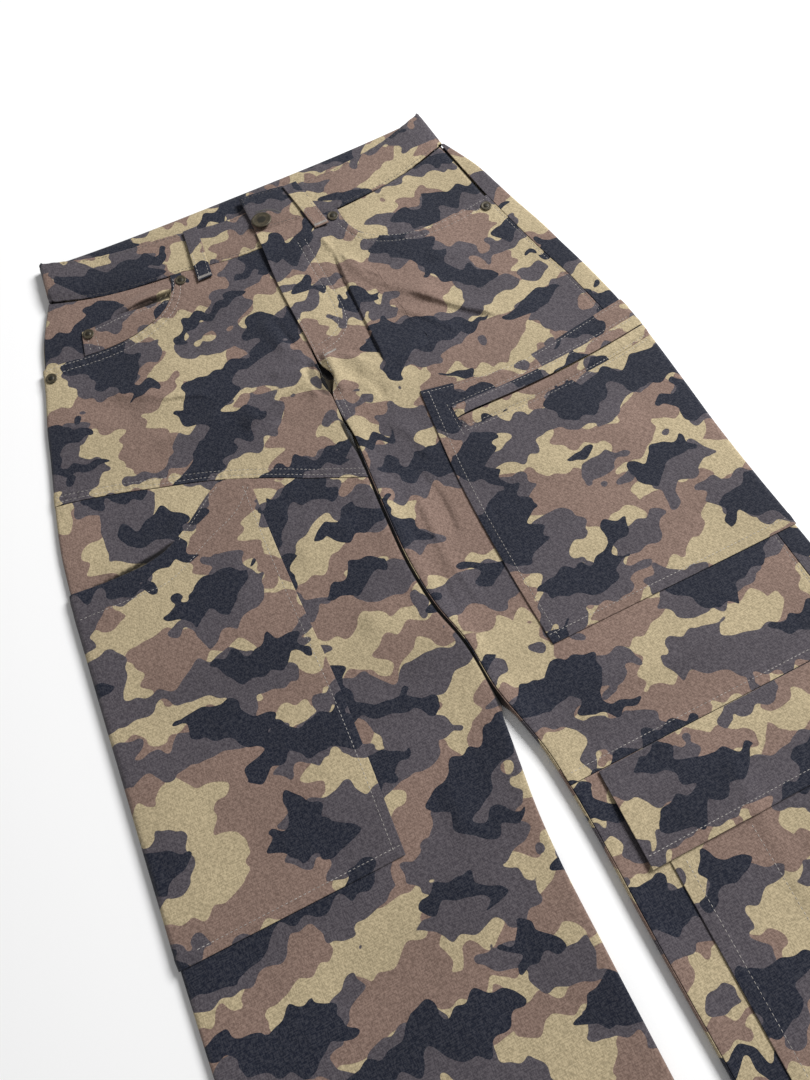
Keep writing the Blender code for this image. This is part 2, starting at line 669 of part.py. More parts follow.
# ---- Waistband, loops and metal ----------------------------------------------------
def band_height(x, layer_side):
    """Outer face of the front band; the wearer's left end lies on the right one."""
    edge = smooth_step(1 - (BAND_HALF - BAND_TURN - np.abs(x)) / EDGE_EASE)
    laid = BACK_LIFT + BAND_REST + (2 * BAND_TURN - BAND_REST) * edge
    if layer_side == LEFT:
        past_end = (x - BAND_LAP_RIGHT_X - 3.0) / 30.0
        laid = laid + BAND_LAP_STEP * (1 - smooth_step(past_end))
    return laid


def band_section(share, out):
    """Points down the band's height at every stretch of its loop.

    The loop starts at the right end under the fly, runs over the front to the right
    turned end, along the back, round the left end and back to the left end on top.
    """
    turn_x = BAND_HALF - BAND_TURN
    bend = np.linspace(0, math.pi, 9)[1:-1]
    front = spread(15, 1.3)                # closer together at the fly
    front_right = BAND_LAP_RIGHT_X + (-turn_x - BAND_LAP_RIGHT_X) * front
    back = np.linspace(-turn_x, turn_x, 13)
    front_left = BAND_LAP_LEFT_X + (turn_x - BAND_LAP_LEFT_X) * front[::-1]
    centre = BACK_LIFT + BAND_TURN
    radius = BAND_TURN + out
    x = np.concatenate([front_right, -turn_x - radius * np.sin(bend), back,
                        turn_x + radius * np.sin(bend[::-1]), front_left])
    z = np.concatenate([
        band_height(front_right, RIGHT) + out, centre + radius * np.cos(bend),
        BACK_LIFT - out + 0 * back, centre + radius * np.cos(bend[::-1]),
        band_height(front_left, LEFT) + out])
    ends = np.full(len(bend), BAND_END_Y)
    foot = np.concatenate([front_foot(RIGHT, front_right), ends, band_foot(back, BACK_DIP),
                           ends, front_foot(LEFT, front_left)])
    y = foot + share * BAND_HIGH
    narrow = 1 - share * (1 - BAND_TOP_HALF / BAND_HALF)
    return np.stack([x * narrow, y, z], axis=-1)


def make_waistband():
    """The waistband, one strip lapped at the centre front."""
    shares = (0.0, 0.5, 1.0)
    outer = np.stack([band_section(share, 0.0) for share in shares])
    inner = np.stack([band_section(share, -BAND_WALL) for share in shares])
    wall("waistband", outer, inner)


def make_front_loops():
    """The two belt loops on the front: over the band and onto the front panel."""
    lines = (("belt_loop_front_right", RIGHT, -51.5, -57.5),
             ("belt_loop_front_left", LEFT, 44.0, 52.5))
    for name, side, x_top, x_foot in lines:
        foot = float(front_foot(side, x_foot))
        y = np.array([foot + BAND_HIGH - 1.0, foot + 0.8 * BAND_HIGH,
                      foot + 0.5 * BAND_HIGH, foot + 0.2 * BAND_HIGH, foot + 1.0,
                      foot - 5.0, foot - LOOP_BELOW])
        share = (y[0] - y) / (y[0] - y[-1])
        x = x_top + (x_foot - x_top) * share
        across = np.linspace(-LOOP_WIDE / 2, LOOP_WIDE / 2, 3)
        on_band = band_height(x[:, None] + across, side)
        distance = side * (x[:, None] + across)
        on_cloth = front_height(side, distance, y[:, None] + 0 * across)
        arch = np.array([0.0, 0.35, 0.6, 0.5, 0.2, 0.1, 0.0])[:, None]
        base = np.where(y[:, None] > foot, on_band, on_cloth).max(axis=1, keepdims=True)
        low = base + PATCH_GAP + arch + 0 * across
        grid = np.stack([x[:, None] + across, y[:, None] + 0 * across, low], axis=-1)
        wall(name, grid + (0, 0, LOOP_THICK), grid, CLOTH_DARK, "cloth_dark")


def make_back_loops():
    """The three belt loops the garment lies on, under the back of the band."""
    for name, x in (("belt_loop_back_right", -96.0), ("belt_loop_back_centre", 0.0),
                    ("belt_loop_back_left", 96.0)):
        foot = float(band_foot(x, BACK_DIP))
        y = np.array([foot + BAND_HIGH - 1.0, foot + BAND_HIGH / 2, foot - LOOP_BELOW])
        across = np.linspace(-LOOP_WIDE / 2, LOOP_WIDE / 2, 3)
        grid = np.stack(np.broadcast_arrays(x + across, y[:, None], 0.0), axis=-1)
        wall(name, grid, grid + (0, 0, BACK_LOOP_THICK), CLOTH_DARK, "cloth_dark")


def turned(name, profile, radius, x, y, z, sides):
    """A piece turned about a vertical axis, from its foot to the middle of its top."""
    angle = np.arange(sides) * 2 * math.pi / sides
    rings = [np.stack([x + share * radius * np.cos(angle),
                       y + share * radius * np.sin(angle),
                       np.full(sides, z + up)], axis=-1) for share, up in profile]
    points = np.concatenate(rings + [[(x, y, z + profile[-1][1])], [(x, y, z)]])
    faces = []
    for ring in range(len(profile) - 1):
        for i in range(sides):
            a, b = ring * sides + i, ring * sides + (i + 1) % sides
            faces.append((a, b, b + sides, a + sides))
    top, foot = len(points) - 2, len(points) - 1
    last = (len(profile) - 1) * sides
    for i in range(sides):
        faces.append((last + i, last + (i + 1) % sides, top))
        faces.append(((i + 1) % sides, i, foot))
    mesh_object(name, points, faces, BRASS, "brass")


def make_metal():
    """The rivets at the pocket corners and the button on the band."""
    ring = np.linspace(0, 2 * math.pi, 9)
    for name, place in RIVETS.items():
        side = RIGHT if place.x < 0 else LEFT
        x = np.append(side * (place.x + RIVET_RADIUS * np.cos(ring)), side * place.x)
        y = np.append(place.y + RIVET_RADIUS * np.sin(ring), place.y)
        level = PATCH_GAP - GAP if name == "rivet_coin_pocket" else 0.0
        seat = front_height(side, x, y).max() + level + GAP
        turned(name, RIVET_PROFILE, RIVET_RADIUS, place.x, place.y, seat, 12)
    seat = float(band_height(BUTTON.x, LEFT)) + GAP
    turned("waist_button", BUTTON_PROFILE, BUTTON_RADIUS, BUTTON.x, BUTTON.y, seat, 20)


def build():
    """Clear the scene and make every piece."""
    for old in list(bpy.data.objects):
        bpy.data.objects.remove(old, do_unlink=True)
    make_waistband()
    make_front_loops()
    make_back_loops()
    make_fronts()
    make_backs()
    make_facings()
    make_thigh_pockets()
    make_lower_pocket()
    make_metal()


build()
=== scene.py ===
"""The looks of a pair of cargo trousers in camouflage twill, laid flat face up.

Every piece of cloth is a thin shell worked out on the laid garment's own form: a station
round the flattened tube, a height along it and a distance out of its outer face.  Sizes
are millimetres and heights are measured from the waist seam, until `place` moves the
points into the frame, in metres.  +X is the wearer's left, +Y the waist, +Z up.
"""
import math
from collections import namedtuple

import bpy
import numpy as np
from mathutils import Matrix, Vector


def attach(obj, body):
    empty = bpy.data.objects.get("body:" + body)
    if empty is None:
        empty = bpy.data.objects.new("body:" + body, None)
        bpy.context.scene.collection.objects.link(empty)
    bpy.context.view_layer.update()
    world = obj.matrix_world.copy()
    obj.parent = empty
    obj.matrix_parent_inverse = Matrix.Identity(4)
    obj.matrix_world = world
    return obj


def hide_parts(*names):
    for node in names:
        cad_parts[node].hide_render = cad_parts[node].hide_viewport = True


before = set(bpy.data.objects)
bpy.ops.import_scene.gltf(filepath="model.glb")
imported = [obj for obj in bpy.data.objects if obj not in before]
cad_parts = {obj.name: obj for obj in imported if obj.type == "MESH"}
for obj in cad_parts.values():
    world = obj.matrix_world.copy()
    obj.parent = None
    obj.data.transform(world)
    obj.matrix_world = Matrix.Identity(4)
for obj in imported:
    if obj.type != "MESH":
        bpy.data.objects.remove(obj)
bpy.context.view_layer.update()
BODY = "root"
MM = 0.001

# ---- The laid garment -------------------------------------------------------------
CLOTH = 0.8             # one layer as it is modelled here
LAYER = 1.2             # the layer of the fitted solids
GAP = 0.3
LEG_GAP = 0.8           # between the inner edges where the legs lie together
LEG_GAP_RUN = 16.0
LEG_TUCK = 0.9          # share of the gap between the legs that closes low down
LEGS_PARTED = 8.0       # a gap wider than this stays open
LEGS_CLOSING = 4.0      # and one this much narrower closes as far as any
SQUARE = 0.6            # below 1 the inner edges turn squarer than a half circle
PATCH_GAP = 0.4
PATCH_STEP = LAYER + PATCH_GAP
TURN = 3.1              # radius of the turned edges
REST = 4.6              # the front layer's outer face, mid panel
EDGE_EASE = 48.0        # over which a layer sinks from a turned edge
HEM_Y = -985.0
CROTCH_Y = -205.0
CROTCH_RUN = 36.0       # over which the inner edges turn under

BAND_HIGH = 40.0
BAND_WALL = 2.5
BAND_HALF = 185.0
BAND_TOP_HALF = 181.5
BAND_TURN = 4.4
BAND_REST = 5.7         # the front band's outer face, above the back's
BAND_END_Y = 3.0        # its lower edge at the turned ends
FRONT_DIP = 22.0        # how much lower that edge is in the middle
BACK_DIP = 5.0
FLY_SHIFT = 7.0         # at the fly its left end sits higher and its right end lower
FLY_SHIFT_RUN = 75.0
BAND_LAP_LEFT_X = -1.5  # where the left end stops, on top
BAND_LAP_RIGHT_X = 28.0
BAND_DROOP_X = -12.0    # outwards from here the right end's shift fades
BAND_LAP_STEP = BAND_WALL + 0.4
BAND_LAP_CLEAR = 3.0    # the left end lies level this far past the right one
BAND_LAP_RUN = 30.0     # and comes down over this
OVER_BAND_STEP = 3.2    # lift of the left front over the band's right end

BACK_LIFT = 1.9         # of the back layer, over the back belt loops
BACK_LIFT_FROM = -74.0
BACK_LIFT_TO = -17.0

FLY_FOOT_Y = -140.0
FLY_RISE_FROM = -162.0
FLY_RISE_RUN = 18.0
FLY_UNDERLAP = 9.0      # the right front runs on this far under the fly
FLY_UNDERLAP_RUN = 20.0
FLY_WIDE = 12.0         # the fly lies level this far before it comes down
FLY_EASE = 38.0
NEAR_BAND_Y = -62.0
NEAR_BAND_RUN = 26.0
FRONT_WAIST_Y = -20.0
BACK_WAIST_Y = -10.0

BAND_STITCH_IN = 2.4
BAND_SWELL = 0.45       # between its two rows of stitching
BAND_SWELL_SUNK = 0.6   # share of that by which its edges lie lower
BAND_WAVE = 0.3
BAND_ROUND = 1.0        # radius of its borders
BAND_BACK = (1.3, 3.7)  # its stations that lie flat underneath
BAND_HUG = 0.8          # how far its foot lies down
BAND_HUG_FACING = 1.1   # how much farther over the front pockets' facings
BAND_HUG_WIDE = 6.0
FACINGS_FROM_X = 96.0   # the facings lie under the band from here outwards
FACINGS_RUN = 30.0

LOOP_WIDE = 13.0
LOOP_THICK = 1.3
BACK_LOOP_THICK = 1.6
LOOP_BELOW = 14.0
LOOP_FOLD = 9.0         # of the lower end, folded under
LOOP_ROWS = 24.0        # height of the stitch rows above the foot
LOOP_ARCH = 0.8
LOOP_ARCH_SHARE = 0.85  # of its length
LOOP_TOP_IN = 1.0       # its top lies this far below the band's upper edge
LOOP_STITCH_IN = 2.0
LOOP_CLEAR = 0.1        # over the panel that it lies on
LOOP_PASS_RUN = 5.0     # over which it climbs from the panel onto the band
LOOP_DOUBLED = 0.7      # rise of its folded end
LOOP_DOUBLED_RUN = 1.5
BACK_LOOPS = {"right": -96.0, "centre": 0.0, "left": 96.0}

RIGHT, LEFT = -1, 1
RIGHT_SEAM_AT = 1.60
INSEAM_AT = {RIGHT: 0.70, LEFT: 0.14}
STATION_GAP = 0.03
LEAST_ON_TOP = 0.004

# Outer edges.  (height, half width on the right, on the left)
HALF_WIDTH = (
    (HEM_Y, 258.0, 258.0), (-850.0, 262.0, 262.0), (-740.0, 264.5, 264.5),
    (-640.0, 265.0, 265.0), (-581.0, 264.0, 264.5), (-519.0, 262.0, 262.5),
    (-446.0, 258.5, 257.5), (-398.0, 256.0, 252.5), (-341.0, 253.5, 248.5),
    (-300.0, 251.5, 247.5), (-248.0, 248.5, 245.5), (-214.0, 245.0, 243.0),
    (-175.0, 237.5, 237.0), (-135.0, 228.5, 228.5), (-109.0, 223.0, 223.0),
    (-83.0, 216.0, 216.0), (-55.0, 209.0, 209.0), (-32.0, 202.5, 202.5),
    (-14.0, 195.0, 195.0), (4.0, 187.0, 187.0),
)
# Centre seam above the crotch, inner edges of the legs below.  (height, right, left)
INNER_EDGE = (
    (HEM_Y, -17.0, 23.0), (-714.0, -12.0, 18.0), (-619.0, -13.0, 15.5),
    (-561.0, -13.0, 15.0), (-528.0, -11.0, 13.5), (-497.0, -7.0, 10.5),
    (-470.0, -3.5, 4.5), (-447.0, -1.5, -0.5), (-405.0, -4.0, -4.0),
    (-378.0, -10.5, -10.5), (-340.0, -14.0, -14.0), (-293.0, -12.5, -12.5),
    (-244.0, -9.4, -9.2), (-224.0, -9.6, -7.6), (-205.0, -8.0, -8.0), (-139.0, -5.0, -5.0),
    (-61.0, -5.5, -5.5), (-20.0, -3.0, -3.0), (10.0, -2.0, -2.0),
)
# (height, x)
LEFT_SIDE_SEAM = (
    (HEM_Y, 241.0), (-700.0, 246.0), (-474.0, 242.0), (-436.0, 239.5), (-300.0, 232.0),
    (-209.0, 224.5), (-178.0, 219.0), (-131.0, 208.0), (-67.0, 195.0), (-30.0, 188.5),
    (4.0, 183.0),
)
# (x, height)
THIGH_SEAM = (
    (-270.0, -175.0), (-239.0, -176.5), (-193.0, -186.0), (-158.0, -197.0),
    (-124.0, -208.0), (-94.0, -220.5), (-58.0, -238.0), (-13.0, -261.0), (0.0, -267.0),
)
KNEE_SEAM_Y = -526.0
POCKET_MOUTH = (
    (-275.0, -247.0), (-250.0, -249.0), (-215.0, -251.5), (-169.0, -246.0),
    (-150.0, -235.0), (-127.0, -218.5), (-118.0, -213.5),
)
RIGHT_POCKET_FRONT = ((-519.0, -103.0), (-416.0, -97.5), (-287.0, -96.5), (-218.0, -94.0))
RIGHT_POCKET_FOOT = -517.0
LEFT_PATCH_TOP = (
    (57.0, -212.0), (94.0, -218.5), (150.0, -222.0), (201.0, -215.0), (250.0, -209.0),
)
LEFT_PATCH_FRONT = ((-438.0, 52.0), (-374.0, 49.5), (-302.0, 49.5), (-212.0, 57.0))
LEFT_PATCH_FOOT = -437.0
WELT_SLIT = ((74.0, -247.0), (150.0, -247.5), (215.0, -243.0), (250.0, -239.0))
WELT_HIGH = 11.0
WELT_START = 73.0
WELT_PARTS_X, WELT_PARTS_RUN = 76.0, 14.0       # its lips part from here
WELT_MEETS_X, WELT_MEETS_RUN = 226.0, 60.0      # and meet again by here
# Patches that run round the outer edge: how wide they usually lie on the front, and the
# station where they end
RIGHT_POCKET_LAID, RIGHT_POCKET_END = 150.0, 1.44
LEFT_PATCH_LAID, LEFT_PATCH_END = 190.0, 1.29
WELT_LAID, WELT_END = 165.0, 1.14

LEFT_POCKET = dict(inner=50.0, outer=202.0, top=-562.0, foot=-792.0, pleat=118.0)
LEFT_FLAP = dict(inner=36.5, outer=216.0, foot=-594.5)
PLEAT_RISE = 0.9
PLEAT_WIDE = 14.0
FLAP_CLIMBS_Y = KNEE_SEAM_Y - 8.0       # from here down the flap climbs onto the pocket
FLAP_CLIMB_RUN = 22.0
FLAP_OVER_PLEAT_Y = -552.0              # and from here over its pleat
FLAP_OVER_PLEAT_RUN = 8.0
FLAP_CURL = 0.8                         # of its free edge
FLAP_CURL_RUN = 38.0
FLAP_CURL_WIDE = 12.0

Scoop = namedtuple("Scoop", "start depth end_rise")
SCOOP = {RIGHT: Scoop(84.0, 46.0, 6.0), LEFT: Scoop(72.0, 56.0, 9.0)}
SCOOP_POWER = 3.0
FACING_TUCK = 9.0
MOUTH_TUCK = 0.045
COIN_OUTER = 0.835      # share of the front's width
COIN_TOP = ((-168.0, -36.5), (-146.0, -35.0), (-130.0, -34.0), (-117.0, -35.2),
            (-105.0, -35.9), (-96.0, -36.8), (-80.0, -36.8))
COIN_SAG = 1.2
COIN_SAG_WIDE = 5.0
COIN_OPEN_X = -134.0    # from here towards the fly its mouth stands open
COIN_OPEN_RUN = 16.0
COIN_IN = 0.012         # its inner end, past the start of the front pocket's mouth
COIN_ABOVE_MOUTH = 0.8
COIN_LEAST_HIGH = 4.0
COIN_HEM_RISE = 0.2
COIN_HEM_HIGH = 6.0
COIN_LEVEL = PATCH_GAP - GAP    # its face, out of the front's

Fold = namedtuple("Fold", "x0 y0 x1 y1 width rise")
FOLD_LIMITS = (-2.8, 3.2)
FOLD_ENDS = 0.3         # share of a fold over which either end is eased
FOLDS = (
    Fold(58, -112, 138, -196, 12.0, -1.0),
    Fold(-168, -120, -60, -150, 13.0, 0.8),
    Fold(-110, -190, -14, -190, 12.0, -1.0),
    Fold(-120, -158, -20, -166, 11.0, 0.6),
    Fold(14, -176, 60, -205, 12.0, 0.8),
    Fold(-40, -290, -60, -420, 20.0, 0.7),
    Fold(-70, -560, -150, -600, 26.0, 1.0),
    Fold(-150, -660, -60, -720, 30.0, 1.0),
    Fold(-60, -810, -190, -850, 28.0, -1.0),
    Fold(60, -840, 190, -880, 28.0, 1.0),
)

CREASE_ENDS = 0.22      # the same for a crease
CREASE_REACH = 3        # times its wider flank, past which a crease is nothing
CREASE_SWELL = 0.25     # share by which it grows and shrinks along its length
CREASE_WAVES = 9        # radians of that in all
BACK_CREASES_IN = 40    # the backs have none beside their seams
BACK_DEEPEST = -0.9
FACING_EASE = 6.0
LINE_POINTS = 14        # of a crease's line or of a painted shade's line
# Creases, each along a smooth line through its points: how wide its left and its right
# flank are, looking along it, and how far it rises.
Crease = namedtuple("Crease", "left right rise points")
FRONT_CREASES = (
    # beside the fly, then down to the left thigh
    Crease(13, 0.7, 1.7, ((52, -46), (49.5, -74), (47.5, -100), (46, -134), (44, -184))),
    Crease(0.7, 3, -0.9, ((49.5, -56), (48, -80), (46.3, -100), (44.9, -134), (43, -182))),
    Crease(11, 3.6, 1.4, ((54, -60), (62, -90), (82, -112), (112, -145))),
    Crease(10, 1.1, 1.9, ((88, -120), (109, -142), (126, -159), (150, -180))),
    Crease(1.2, 6, -0.9, ((88, -124), (107, -145), (123, -161), (144, -178))),
    Crease(3, 1.4, 1.2, ((56, -58), (58, -75), (66, -93))),
    Crease(3, 1.4, 1.0, ((60, -66), (65, -83), (78, -101))),
    Crease(3, 2.5, 1.6, ((45, -41), (48.5, -47), (50, -57))),
    Crease(9, 1.8, 1.7, ((32, -186), (58, -181), (88, -172))),
    Crease(7, 3, 1.2, ((70, -128), (92, -150), (112, -177))),
    Crease(12, 15, -1.2, ((148, -98), (180, -120), (204, -152))),
    Crease(9, 5, 1.2, ((116, -96), (150, -108), (186, -108))),
    # round the crotch
    Crease(7, 3, 2.8, ((1, -140), (3.5, -163), (1, -188))),
    Crease(4, 5, -3.4, ((-8, -148), (-10, -164), (-8, -182))),
    Crease(1.5, 6, 1.7, ((-18, -146), (-20, -160), (-16, -181))),
    Crease(3, 12, 2.8, ((-12, -158), (-30, -164), (-52, -170), (-84, -181))),
    Crease(7, 3, -1.7, ((-12, -171), (-32, -177), (-60, -186))),
    Crease(4, 4, 1.3, ((-11, -139), (-26, -145), (-46, -146))),
    Crease(3, 7, 1.7, ((10, -151), (24, -160), (36, -175))),
    Crease(6, 3, -1.4, ((12, -169), (26, -186), (31, -207))),
    # hip and front of the right thigh
    Crease(7, 5, 1.4, ((-32, -92), (-28, -112), (-23, -134))),
    Crease(3, 3, -1.1, ((-20, -98), (-19, -112), (-15, -130))),
    Crease(5, 1.8, 1.5, ((-134, -125), (-116, -130), (-94, -140))),
    Crease(10, 4, 1.5, ((-168, -100), (-142, -116), (-122, -130))),
    Crease(7, 11, -1.3, ((-202, -92), (-172, -110), (-146, -132))),
    Crease(11, 5, 1.4, ((-88, -155), (-120, -162), (-156, -158))),
    Crease(7, 12, -1.1, ((-58, -56), (-82, -82), (-94, -108))),
    # behind the right thigh pocket's mouth
    Crease(11, 0.9, 2.4, ((-236, -249), (-208, -249.5), (-178, -246.5), (-152, -233.5),
                          (-136, -222))),
    # inner thighs
    Crease(6, 1.6, 2.2, ((15, -284), (13.5, -318), (11.5, -344), (5, -376), (2.5, -410))),
    Crease(5, 3, 1.6, ((13, -336), (16, -360), (21, -394))),
    Crease(3, 9, -1.4, ((23, -266), (31, -300), (28, -342))),
    Crease(8, 4, 1.4, ((20, -222), (34, -244), (39, -272))),
    Crease(14, 6, 1.9, ((-18, -326), (-40, -352), (-72, -367))),
    Crease(7, 15, -1.5, ((-20, -392), (-46, -412), (-84, -411))),
    Crease(11, 5, 1.6, ((-26, -289), (-60, -286), (-92, -299))),
    Crease(8, 13, -1.2, ((-30, -222), (-60, -252), (-84, -262))),
    # under the thigh pockets
    Crease(22, 12, 1.5, ((-112, -296), (-170, -330), (-232, -336))),
    Crease(13, 24, -1.4, ((-110, -420), (-170, -440), (-236, -430))),
    Crease(20, 12, 1.5, ((62, -296), (130, -318), (208, -309))),
    Crease(12, 22, -1.4, ((70, -388), (150, -405), (228, -394))),
    # lower legs
    Crease(16, 9, 1.6, ((-40, -466), (-58, -500), (-60, -545))),
    Crease(9, 16, -1.4, ((18, -450), (36, -480), (38, -518))),
    Crease(12, 7, 1.4, ((56, -468), (110, -484), (176, -477))),
    Crease(14, 22, -1.6, ((-66, -552), (-120, -580), (-196, -573))),
    Crease(20, 11, 1.7, ((-44, -638), (-96, -668), (-168, -676))),
    Crease(24, 16, 1.5, ((-200, -690), (-184, -780), (-196, -866))),
    Crease(15, 22, -1.5, ((-90, -750), (-100, -850), (-84, -936))),
    Crease(12, 20, -1.4, ((18, -636), (28, -700), (24, -776))),
    Crease(22, 14, 1.5, ((228, -636), (222, -720), (230, -806))),
    Crease(16, 24, -1.5, ((80, -828), (130, -856), (202, -852))),
    Crease(20, 14, 1.4, ((56, -896), (90, -930), (84, -970))),
)

FACING_CREASES = (
    # hangs over the coin pocket's mouth
    Crease(8, 0.8, 3.2, ((-140, -32), (-120, -31.6), (-100, -31), (-74, -30))),
    Crease(0.9, 6, -1.5, ((-138, -33.6), (-120, -33.4), (-100, -33), (-76, -32))),
    Crease(6, 2.5, 1.1, ((94, -17), (118, -20), (146, -14))),
    Crease(2, 4, -0.5, ((100, -23), (124, -27), (152, -24))),
    Crease(3, 4, 0.4, ((120, -46), (146, -42), (168, -33))),
    Crease(3, 4, 0.4, ((-104, -16), (-130, -18), (-158, -14))),
    Crease(4, 3, 0.4, ((-176, -20), (-184, -34), (-186, -50))),
)
BACK_CREASES = (
    Crease(9, 14, -0.8, ((-60, -240), (-120, -262), (-190, -250))),
    Crease(12, 8, -0.7, ((40, -230), (104, -262), (170, -270))),
    Crease(10, 14, -0.7, ((-50, -130), (-96, -150), (-150, -136))),
    Crease(14, 9, -0.7, ((50, -120), (98, -146), (156, -150))),
    Crease(14, 20, -0.8, ((-50, -480), (-130, -505), (-205, -490))),
    Crease(18, 12, -0.9, ((-70, -560), (-140, -585), (-215, -560))),
    Crease(16, 20, -0.8, ((60, -500), (140, -520), (206, -500))),
    Crease(20, 13, -0.7, ((50, -590), (128, -612), (210, -590))),
    Crease(16, 24, -0.7, ((-110, -700), (-150, -790), (-140, -900))),
    Crease(22, 15, -0.7, ((120, -690), (160, -800), (150, -910))),
)

FLY_STITCH = ((33.5, -38.0), (34.5, -60.0), (35.5, -92.0), (35.0, -114.0),
              (30.0, -130.0), (18.0, -139.5), (4.0, -143.0))
MOUTH_HEM = ((-246.0, -271.0), (-202.0, -272.0), (-181.0, -272.0), (-163.0, -266.0),
             (-140.0, -254.0), (-115.0, -243.0), (-98.0, -228.0))
# Painted shade along narrow openings, where shade falls: strokes of darker colour.  (x, height,
# half width) along each
PaintedShade = namedtuple("PaintedShade", "dark points")
CROTCH_PAINTED_SHADE = PaintedShade(0.97, ((-5.0, -138.0, 13.0), (-5.0, -165.0, 13.0), (-5.0, -192.0, 13.0)))
PAINTED_SHADES = {
    "back_right": (CROTCH_PAINTED_SHADE,), "back_left": (CROTCH_PAINTED_SHADE,),
    "front_right_upper": (PaintedShade(0.55, (
        (-9.5, -149.0, 1.0), (-13.0, -156.0, 3.2), (-13.5, -165.0, 4.6), (-11.5, -174.0, 3.4),
        (-9.0, -181.0, 1.0))),),
    "pocket_facing_right": (PaintedShade(0.97, (
        (-128.0, -33.0, 0.4), (-117.0, -33.2, 1.6), (-107.0, -33.3, 2.0), (-97.0, -33.4, 2.1),
        (-82.0, -33.0, 2.2))),),
    "front_right_leg": (PaintedShade(1.0, (
        (-238.0, -250.5, 0.4), (-214.0, -251.2, 1.3), (-190.0, -249.4, 1.7),
        (-173.0, -246.4, 1.4), (-165.0, -242.8, 0.4))),),
}
BUTTONHOLE = ((6.0, 6.5), (14.0, 6.0), (21.0, 2.5), (26.0, -2.5))
FRONT_LOOPS = {         # name: (side, x at the top, x at the foot)
    "belt_loop_front_right": (RIGHT, -51.5, -57.5),
    "belt_loop_front_left": (LEFT, 44.0, 52.5),
}
HEM_HIGH = 20.0

# Relief of sewing and of slack cloth
SEAM_RISE = 0.35
PRESS = 0.3             # depth of the groove that a row of stitches pulls
PRESS_WIDE = 1.4
PUCKER = 0.16
PUCKER_WIDE = 4.5
PUCKER_RUN = 9.0
BAND_PUCKER = 1.6 * PUCKER
BAND_PUCKER_WIDE = 5.0
ROW_POINTS = 16         # of a stitch row, where its relief is worked out
DOUBLED_EASE = 2.5      # over which a turned-in edge comes down to single cloth
MOUTH_GAPE = 0.7
MOUTH_GAPE_WIDE = 11.0
FLY_GAPE = 0.6
FLY_GAPE_WIDE = 3.5
FLY_GAPE_RUN = 12.0
SLACK = 0.3             # ripples of a patch between its stitched borders
SLACK_RUN = 20.0
PRESSED = 0.7           # how far those borders lie down
PRESSED_SHARE = 0.8     # of the width over which they are doubled
WELT_PRESSED = 1.2
WELT_PRESSED_WIDE = 3.0
WELT_GAPE = (0.3, 1.7)  # of the lower lip and of the upper
WELT_GAPE_WIDE = 4.0
WELT_PART = 1.0
CROTCH_PART = (10.0, -167.0, 10.5)  # the centre seam's opening: how wide, where, how far
CROTCH_SHARE = {RIGHT: 0.3, LEFT: 0.7}
# Inner edges that puff up.  (height, on the right, on the left)
PUFF = (
    (HEM_Y, 0.0, 0.0), (-760.0, 0.4, 0.3), (-620.0, 0.7, 1.0), (-500.0, 0.8, 1.6),
    (-400.0, 0.9, 2.6), (-300.0, 0.9, 2.9), (-240.0, 1.0, 2.8), (-212.0, 0.7, 1.6),
    (-190.0, 0.0, 0.0),
)
PUFF_WIDE = 8.0
# Painted shade between the legs: from which turn of an inner edge, in degrees, over how many
# more, and how soon below the crotch
PAINTED_SHADE_FROM, PAINTED_SHADE_OVER, PAINTED_SHADE_RUN = 28, 20, 6.0

# Rows of stitches: how far in from an edge or a seam they run
MOUTH_ROWS = (1.8, 7.5)
SEAM_ROWS = (3.0, 7.5)
SIDE_ROW = 2.6
FOOT_ROW = 7.0
SIDE_ROWS_X = 238.0     # rows across the left leg end here
FLAP_ROW_TOP = -600.0   # rows of the lower pocket begin here, under its flap

THREAD = 0.22           # radius
THREAD_SIDES = 6
THREAD_RINGS = 5
THREAD_BOW = 1.05       # rise of its middle, in radii
THREAD_SUNK = 0.8       # how deep its ends lie, in radii
THREAD_TAPER = 0.93     # below 1 its ends stay a little open until they are closed
THREAD_STEEPEST = 1.2   # a thread that would climb more than this is left out
DROP_FROM = 100.0       # height from which points are dropped onto the cloth

Disc = namedtuple("Disc", "x y")
RIVETS = {
    "rivet_pocket_right_inner": Disc(-77.0, -26.0),
    "rivet_pocket_right_outer": Disc(-205.0, -67.5),
    "rivet_coin_pocket": Disc(-164.5, -41.0),
    "rivet_pocket_left_inner": Disc(65.0, -24.5),
    "rivet_pocket_left_outer": Disc(188.5, -75.0),
}
RIVET_RADIUS = 4.7
BUTTON = Disc(7.5, -4.0)
BUTTON_RADIUS = 8.8
BUTTON_LEAN = 0.14
BUTTON_SIDES, RIVET_SIDES = 84, 28
TURNED_RINGS = 34
BEADS = 28              # round the button, inside its rim
BEADS_AT = 0.56 * BUTTON_RADIUS
BEAD_HIGH = 0.22
BEAD_WIDE = 0.55
# Profiles, from the foot up the outside.  (share of the radius, height)
RIVET_PROFILE = (
    (0.86, 0.0), (0.98, 0.25), (1.0, 0.55), (0.93, 0.88), (0.8, 0.92), (0.66, 0.78),
    (0.54, 0.74), (0.45, 0.95), (0.38, 1.3), (0.28, 1.5), (0.1, 1.58),
)
BUTTON_PROFILE = (
    (0.45, 0.0), (0.46, 0.5), (0.52, 0.9), (0.8, 1.0), (0.96, 1.15), (1.0, 1.5),
    (0.97, 1.9), (0.88, 2.15), (0.8, 2.1), (0.73, 1.9), (0.6, 1.8), (0.45, 1.78),
    (0.34, 1.8), (0.15, 1.85), (0.03, 1.85),
)

